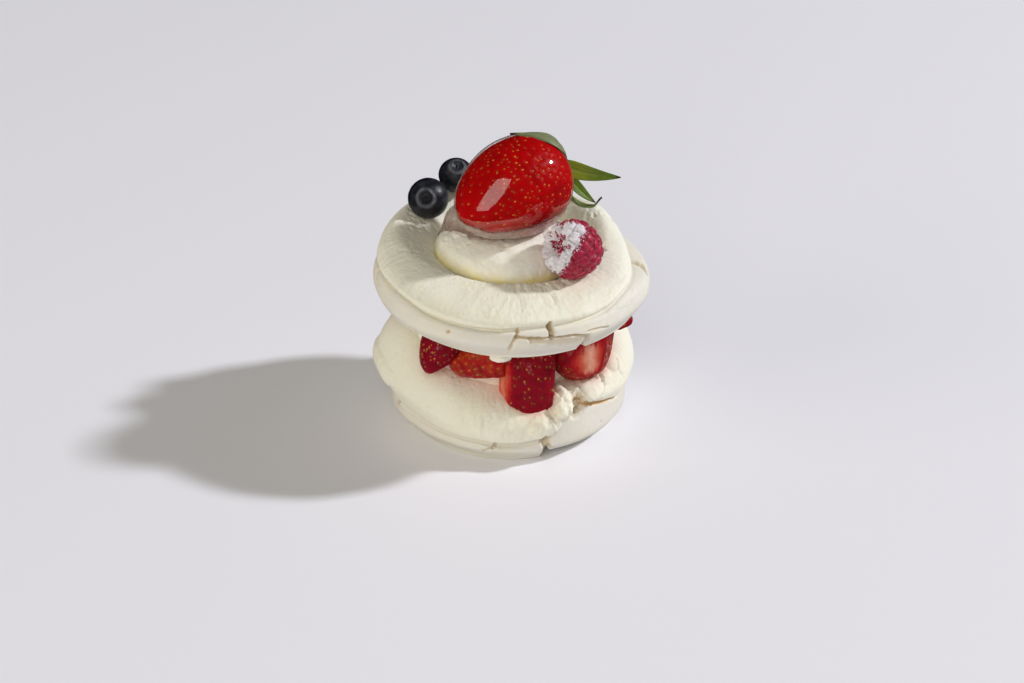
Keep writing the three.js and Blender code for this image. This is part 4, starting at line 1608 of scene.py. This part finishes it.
def leaf_look(settings):
    """Strawberry leaf: olive green, yellower near the stem, with fine lengthwise veins,
    greyer and paler where it lies under glaze, partly a painted sheen, and a dark dry tip."""
    look = Look("leaf")
    s = settings
    base = look.layers(
        s.leaf,
        (look.noise(1.5, 3, 51).step(0.35, 0.7) * 0.5, s.leaf_dark),
        (look.field("young"), s.leaf_young),
        (look.field("vein") * 0.5, (0.3, 0.36, 0.09)),
        # greyer and paler under glaze: partly the glaze over it, partly a painted sheen
        (look.field("dull"), (0.24, 0.25, 0.16)),
        (look.field("end"), (0.035, 0.02, 0.03)),
    )
    return look.finish(
        base, 0.4, look.bump(look.noise(0.5, 2, 52) * 0.05), subsurface_weight=0.1,
        subsurface_radius=(0.5, 1.0, 0.2), subsurface_scale=0.0008, specular_ior_level=0.2,
    )


class PAVLOVA_OT_leaves(bpy.types.Operator):
    """Adds the strawberry's leaves"""

    bl_idname = "pavlova.leaves"
    bl_label = "Leaves"

    def execute(self, context):
        root = placed(STRAWBERRY, (0, 0, STRAWBERRY["egg"]["stem"] + 0.5))
        parts = [leaf_body(root, leaf) for leaf in CALYX["leaves"]] + [cap_body(root)]
        points, skins, fields = zip(*parts)
        starts = np.cumsum([0, *(len(p) for p in points)])
        faces = [kind + start for skin, start in zip(skins, starts) for kind in skin]
        material = leaf_look(context.scene.pavlova.berries)
        fields = {key: np.concatenate([f[key] for f in fields]) for key in fields[0]}
        points = np.concatenate(points)
        add_piece("calyx", points, faces, material, "strawberry_calyx", fields)
        return {"FINISHED"}


# ---- Blueberries and raspberry ------------------------------------------


def blueberry_shape(berry, seed):
    """A blueberry: a slightly flat ball with a five-lobed crown, a ring that stands up
    round a dimple. Returns its places, its faces and how grey its bloom is."""
    ways, skin = ball(*BALL_PLACES["blueberry"])
    tilt = np.arccos(np.clip(ways[:, 2], -1, 1))
    turn = np.arctan2(ways[:, 1], ways[:, 0])
    lobes = 0.5 + 0.5 * np.cos(5 * turn + seed)
    ring = 0.34 + 0.045 * lobes
    rim = (0.05 + 0.03 * lobes) * bell(tilt - ring, 0.055 + 0.02 * lobes)
    dimple = 0.14 * (1 - smooth(0.1, 0.32, tilt))
    pip = 0.05 * bell(tilt, 0.06)
    reach = 1 - 0.05 * ways[:, 2] ** 2 + rim - dimple + pip
    reach = reach + 0.008 * rough(ways * 6, 3, seed, 2)
    bloom = bell(tilt - 0.46, 0.1) + 0.35 * bell(tilt - 0.2, 0.05)
    bloom *= 0.75 + 0.4 * noise(ways * 6, 1.2, seed + 5)
    bloom += 0.1 * noise(ways * 6, 2.5, seed + 6)
    points = placed(berry, ways * (berry["radius"] * reach)[:, None])
    return points, skin, np.clip(bloom, 0, 1)


def blueberry_look(settings):
    """Blueberry: blue-black, satin, with a patchy grey bloom that is thickest round the
    crown."""
    look = Look("blueberry_skin")
    s = settings
    patches = look.noise(2.6, 4, 61).step(0.45, 0.75)
    bloom = look.field("bloom")
    base = look.layers(s.blueberry, (patches * 0.22, s.bloom), (bloom, (0.14, 0.15, 0.175)))
    roughness = 0.36 + patches * 0.2 + bloom * 0.25
    normal = look.bump(look.noise(0.5, 3, 62) * 0.05)
    return look.finish(base, roughness, normal, specular_ior_level=0.3)


def raspberry_reach(ways, groove):
    """The raspberry's surface along each direction: a blunt egg with low uneven drupelets
    and a hole at its open end. Also returns how far each place is from a drupelet's edge,
    which is how much farther the second nearest drupelet is than the nearest, and how deep
    in the hole it is."""
    count = RASPBERRY["drupelets"]
    draw = np.random.default_rng(23)
    beads = unit(spiral_ways(count) + draw.normal(size=(count, 3)) * 0.055)
    body = egg_reach(RASPBERRY["egg"], ways)
    bead_radius = math.sqrt(4 / count)
    cosine = -np.partition(-(ways @ beads.T), 1, axis=1)[:, :2]
    first, second = np.arccos(np.clip(cosine, -1, 1)).T / bead_radius
    edge = second - first
    bumpy = body - groove * (1 - smooth(-0.1, 0.75, edge) ** 0.5) - 0.35 * groove * first**2
    away = np.hypot(ways[:, 0], ways[:, 1]) * bumpy
    hole = np.where(ways[:, 2] > 0, np.clip(1 - (away / RASPBERRY["hole"]) ** 4, 0, 1), 0)
    return bumpy - RASPBERRY["holeDepth"] * hole, edge, hole


def raspberry_look(settings):
    """Raspberry: crimson drupelets with pale fine lines along their edges and fine pale
    hairs, with painted shade in the grooves and in the hole."""
    look = Look("raspberry_skin")
    s = settings
    edge, hole = look.field("edge"), look.field("hole")
    mottled = look.noise(1.6, 3, 71)
    line = (1 - (edge + (mottled - 0.5) * 0.3).step(0.1, 0.34)) * edge.step(0.02, 0.1)
    hairs = look.noise(0.32, 2, 74, 0.5, (1, 1, 0.3)).step(0.62, 0.72)
    base = look.layers(
        s.raspberry,
        (mottled.step(0.35, 0.7), (0.44, 0.02, 0.07)),
        (line * 0.5, (0.6, 0.16, 0.2)),
        # painted shade in the grooves between the drupelets
        ((1 - edge.step(0.0, 0.09)) * 0.8, (0.1, 0.001, 0.01)),
        (hairs * 0.35, (0.62, 0.25, 0.28)),
        # painted shade deep in the hole
        (hole * 0.85, (0.09, 0.001, 0.008)),
    )
    return look.finish(
        base, 0.42, look.bump(look.noise(0.45, 3, 73) * 0.1), subsurface_weight=0.08,
        subsurface_radius=(1.0, 0.2, 0.2), subsurface_scale=0.001, specular_ior_level=0.25,
        coat_weight=0.1, coat_roughness=0.25,
    )


def sugar_share(ways, places):
    """How thickly the sugar is caked at each direction of the raspberry's own frame: each
    lump is one less the squares of the shares round and along, with ragged edges, and the
    thickest one counts. Below 0 there is none."""
    turn = np.arctan2(ways[..., 1], ways[..., 0])
    ragged = 0.64 * rough(places, 1.5, 141, 4)
    cake = np.full(ways.shape[:-1], -1.0)
    for middle, z, half_turn, half_z, height in SUGAR:
        off = (turn - math.radians(middle) + math.pi) % TAU - math.pi
        share = 1 - (off / math.radians(half_turn)) ** 2 - ((ways[..., 2] - z) / half_z) ** 2
        cake = np.maximum(cake, np.minimum(share + ragged, 1) * height)
    return cake


def sugar_look(settings):
    """Powdered sugar: matt white, with painted shade greying the hollows between its clumps."""
    look = Look("powdered_sugar")
    clumps = look.noise(0.7, 4, 72)
    # painted shade: grey where the clumps' bump is low
    shade = look.mix(clumps.step(0.35, 0.65), (0.72, 0.68, 0.72), settings.sugar)
    height = clumps * 0.35 + look.noise(0.25, 2, 75) * 0.12
    return look.finish(
        shade, 0.85, look.bump(height), subsurface_weight=0.3,
        subsurface_radius=(1.0, 1.0, 1.0), subsurface_scale=0.0004, specular_ior_level=0.2,
    )


def add_caked_sugar(groove, material):
    """The caked layer: it stands off the raspberry where its share is above nothing, and
    hides inside it elsewhere."""
    ways, skin = ball(*BALL_PLACES["sugar"])
    reach = raspberry_reach(ways, groove)[0]
    places = placed(RASPBERRY, ways * reach[:, None])
    cake = sugar_share(ways, places)
    lumps = 0.3 * rough(places, 0.9, 145, 3)
    layer = -0.5 + smooth(-0.1, 0.25, cake) * (0.75 + 0.5 * np.maximum(cake, 0) + lumps)
    points = placed(RASPBERRY, ways * (reach + layer)[:, None])
    add_piece("caked_sugar", points, skin, material)


def add_loose_sugar(settings, groove, material):
    """Loose grains on and round the caked sugar: small uneven balls at random places,
    each turned at random and a little off the skin."""
    draw = np.random.default_rng(17)
    spots = unit(draw.normal(size=(settings.grains * 6, 3)))
    here = placed(RASPBERRY, spots * raspberry_reach(spots, groove)[0][:, None])
    near = sugar_share(spots, here) + 0.5 * draw.uniform(-1, 1, len(spots))
    keep = np.flatnonzero((near > -0.25) & (spots[:, 2] > -0.1))[: settings.grains]
    here, normal = here[keep], turned(RASPBERRY, spots[keep])
    count = len(keep)
    sizes = settings.grain / MM / 2 * draw.uniform(0.4, 1.5, (count, 1))
    sizes = sizes * draw.uniform(0.7, 1.3, (count, 3))
    lift = draw.uniform(-0.05, 0.7, (count, 1))
    axes = axes_for(draw.normal(size=(count, 3)), normal)
    grains, joined = copies(*small_ball(2), here + lift * normal, axes, sizes)
    add_piece("powdered_sugar", grains, [joined], material)


class PAVLOVA_OT_berries(bpy.types.Operator):
    """Adds the blueberries, the raspberry and its powdered sugar"""

    bl_idname = "pavlova.berries"
    bl_label = "Blueberries and raspberry"

    def execute(self, context):
        settings = context.scene.pavlova.berries
        look = blueberry_look(settings)
        for i, berry in enumerate(BLUEBERRIES):
            points, skin, bloom = blueberry_shape(berry, i)
            name = "blueberry_%d" % (i + 1)
            fields = {"bloom": bloom}
            add_piece(name + "_fruit", points, skin, look, name, fields)
        groove = settings.drupelet / MM
        ways, skin = ball(*BALL_PLACES["raspberry"])
        reach, edge, hole = raspberry_reach(ways, groove)
        add_piece(
            "raspberry_fruit", placed(RASPBERRY, ways * reach[:, None]), skin,
            raspberry_look(settings), "raspberry", {"edge": edge, "hole": hole},
        )
        material = sugar_look(settings)
        add_caked_sugar(groove, material)
        add_loose_sugar(settings, groove, material)
        return {"FINISHED"}


# ---- Stage ---------------------------------------------------------------


def area_light(name, light, strength):
    """A rectangular light that faces the middle of the object from its direction."""
    way = Vector(light["way"]).normalized()
    data = bpy.data.lights.new(name, "AREA")
    data.shape = "RECTANGLE"
    data.size, data.size_y = light["size"]
    data.energy = strength
    data.color = light["tint"]
    lamp = add_object(name, data)
    lamp.location = Vector(OBJECT_MIDDLE) + way * light["distance"]
    turn = Quaternion((0, 0, 1), math.radians(light.get("turn", 0)))
    lamp.rotation_euler = ((-way).to_track_quat("-Z", "Y") @ turn).to_euler()
    return lamp


def add_floor(settings):
    """A wide pale floor under the object."""
    half = FLOOR_SIZE / 2
    mesh = bpy.data.meshes.new("floor")
    corners = [(-half, -half, 0), (half, -half, 0), (half, half, 0), (-half, half, 0)]
    mesh.from_pydata(corners, [], [(0, 1, 2, 3)])
    mesh.materials.append(Look("floor").finish((*settings.floor, 1), 0.6))
    floor = add_object("floor", mesh)
    return floor


def add_sky(settings):
    """Even warm light from all round."""
    world = bpy.data.worlds.new("studio")
    world.use_nodes = True
    sky = world.node_tree.nodes["Background"]
    sky.inputs["Color"].default_value = (1.0, 0.984, 0.93, 1)
    sky.inputs["Strength"].default_value = settings.sky
    bpy.context.scene.world = world
    return world


def add_camera(settings):
    """The camera in front, which looks down at the object."""
    data = bpy.data.cameras.new("camera")
    data.lens = settings.lens
    data.sensor_width = CAMERA["sensor"]
    camera = add_object("camera", data)
    camera.location = CAMERA["place"]
    camera.rotation_euler = (math.radians(CAMERA["pitch"]), 0, 0)
    bpy.context.scene.camera = camera


class PAVLOVA_OT_stage(bpy.types.Operator):
    """Adds the floor, the lights and the camera"""

    bl_idname = "pavlova.stage"
    bl_label = "Stage"

    def execute(self, context):
        settings = context.scene.pavlova.stage
        floor, world = add_floor(settings), add_sky(settings)
        lamps = {n: area_light(n, light, getattr(settings, n)) for n, light in LIGHTS.items()}
        # the glaze mirrors only the key light and the front softbox
        world.cycles_visibility.glossy = False
        lamps["side"].visible_glossy = False
        floor.visible_glossy = False
        add_camera(settings)
        context.scene.view_settings.view_transform = "Standard"
        return {"FINISHED"}


# ---- Panel and run -------------------------------------------------------

OPERATORS = (
    PAVLOVA_OT_meringue,
    PAVLOVA_OT_cream,
    PAVLOVA_OT_slices,
    PAVLOVA_OT_strawberry,
    PAVLOVA_OT_leaves,
    PAVLOVA_OT_berries,
    PAVLOVA_OT_stage,
)


class PAVLOVA_PT_panel(bpy.types.Panel):
    """Lists the steps that build the pavlova"""

    bl_idname = "PAVLOVA_PT_panel"
    bl_label = "Pavlova"
    bl_space_type = "VIEW_3D"
    bl_region_type = "UI"
    bl_category = "Pavlova"

    def draw(self, context):
        for operator in OPERATORS:
            self.layout.operator(operator.bl_idname)


CLASSES = (
    MeringueSettings,
    CreamSettings,
    SliceSettings,
    StrawberrySettings,
    BerrySettings,
    StageSettings,
    PavlovaSettings,
    *OPERATORS,
    PAVLOVA_PT_panel,
)


def register():
    for cls in CLASSES:
        bpy.utils.register_class(cls)
    bpy.types.Scene.pavlova = PointerProperty(type=PavlovaSettings)


def unregister():
    del bpy.types.Scene.pavlova
    for cls in reversed(CLASSES):
        bpy.utils.unregister_class(cls)


def main():
    """Builds every piece in order."""
    register()
    bpy.ops.pavlova.meringue()
    bpy.ops.pavlova.cream()
    bpy.ops.pavlova.slices()
    bpy.ops.pavlova.strawberry()
    bpy.ops.pavlova.leaves()
    bpy.ops.pavlova.berries()
    bpy.ops.pavlova.stage()


if __name__ == "__main__":
    main()
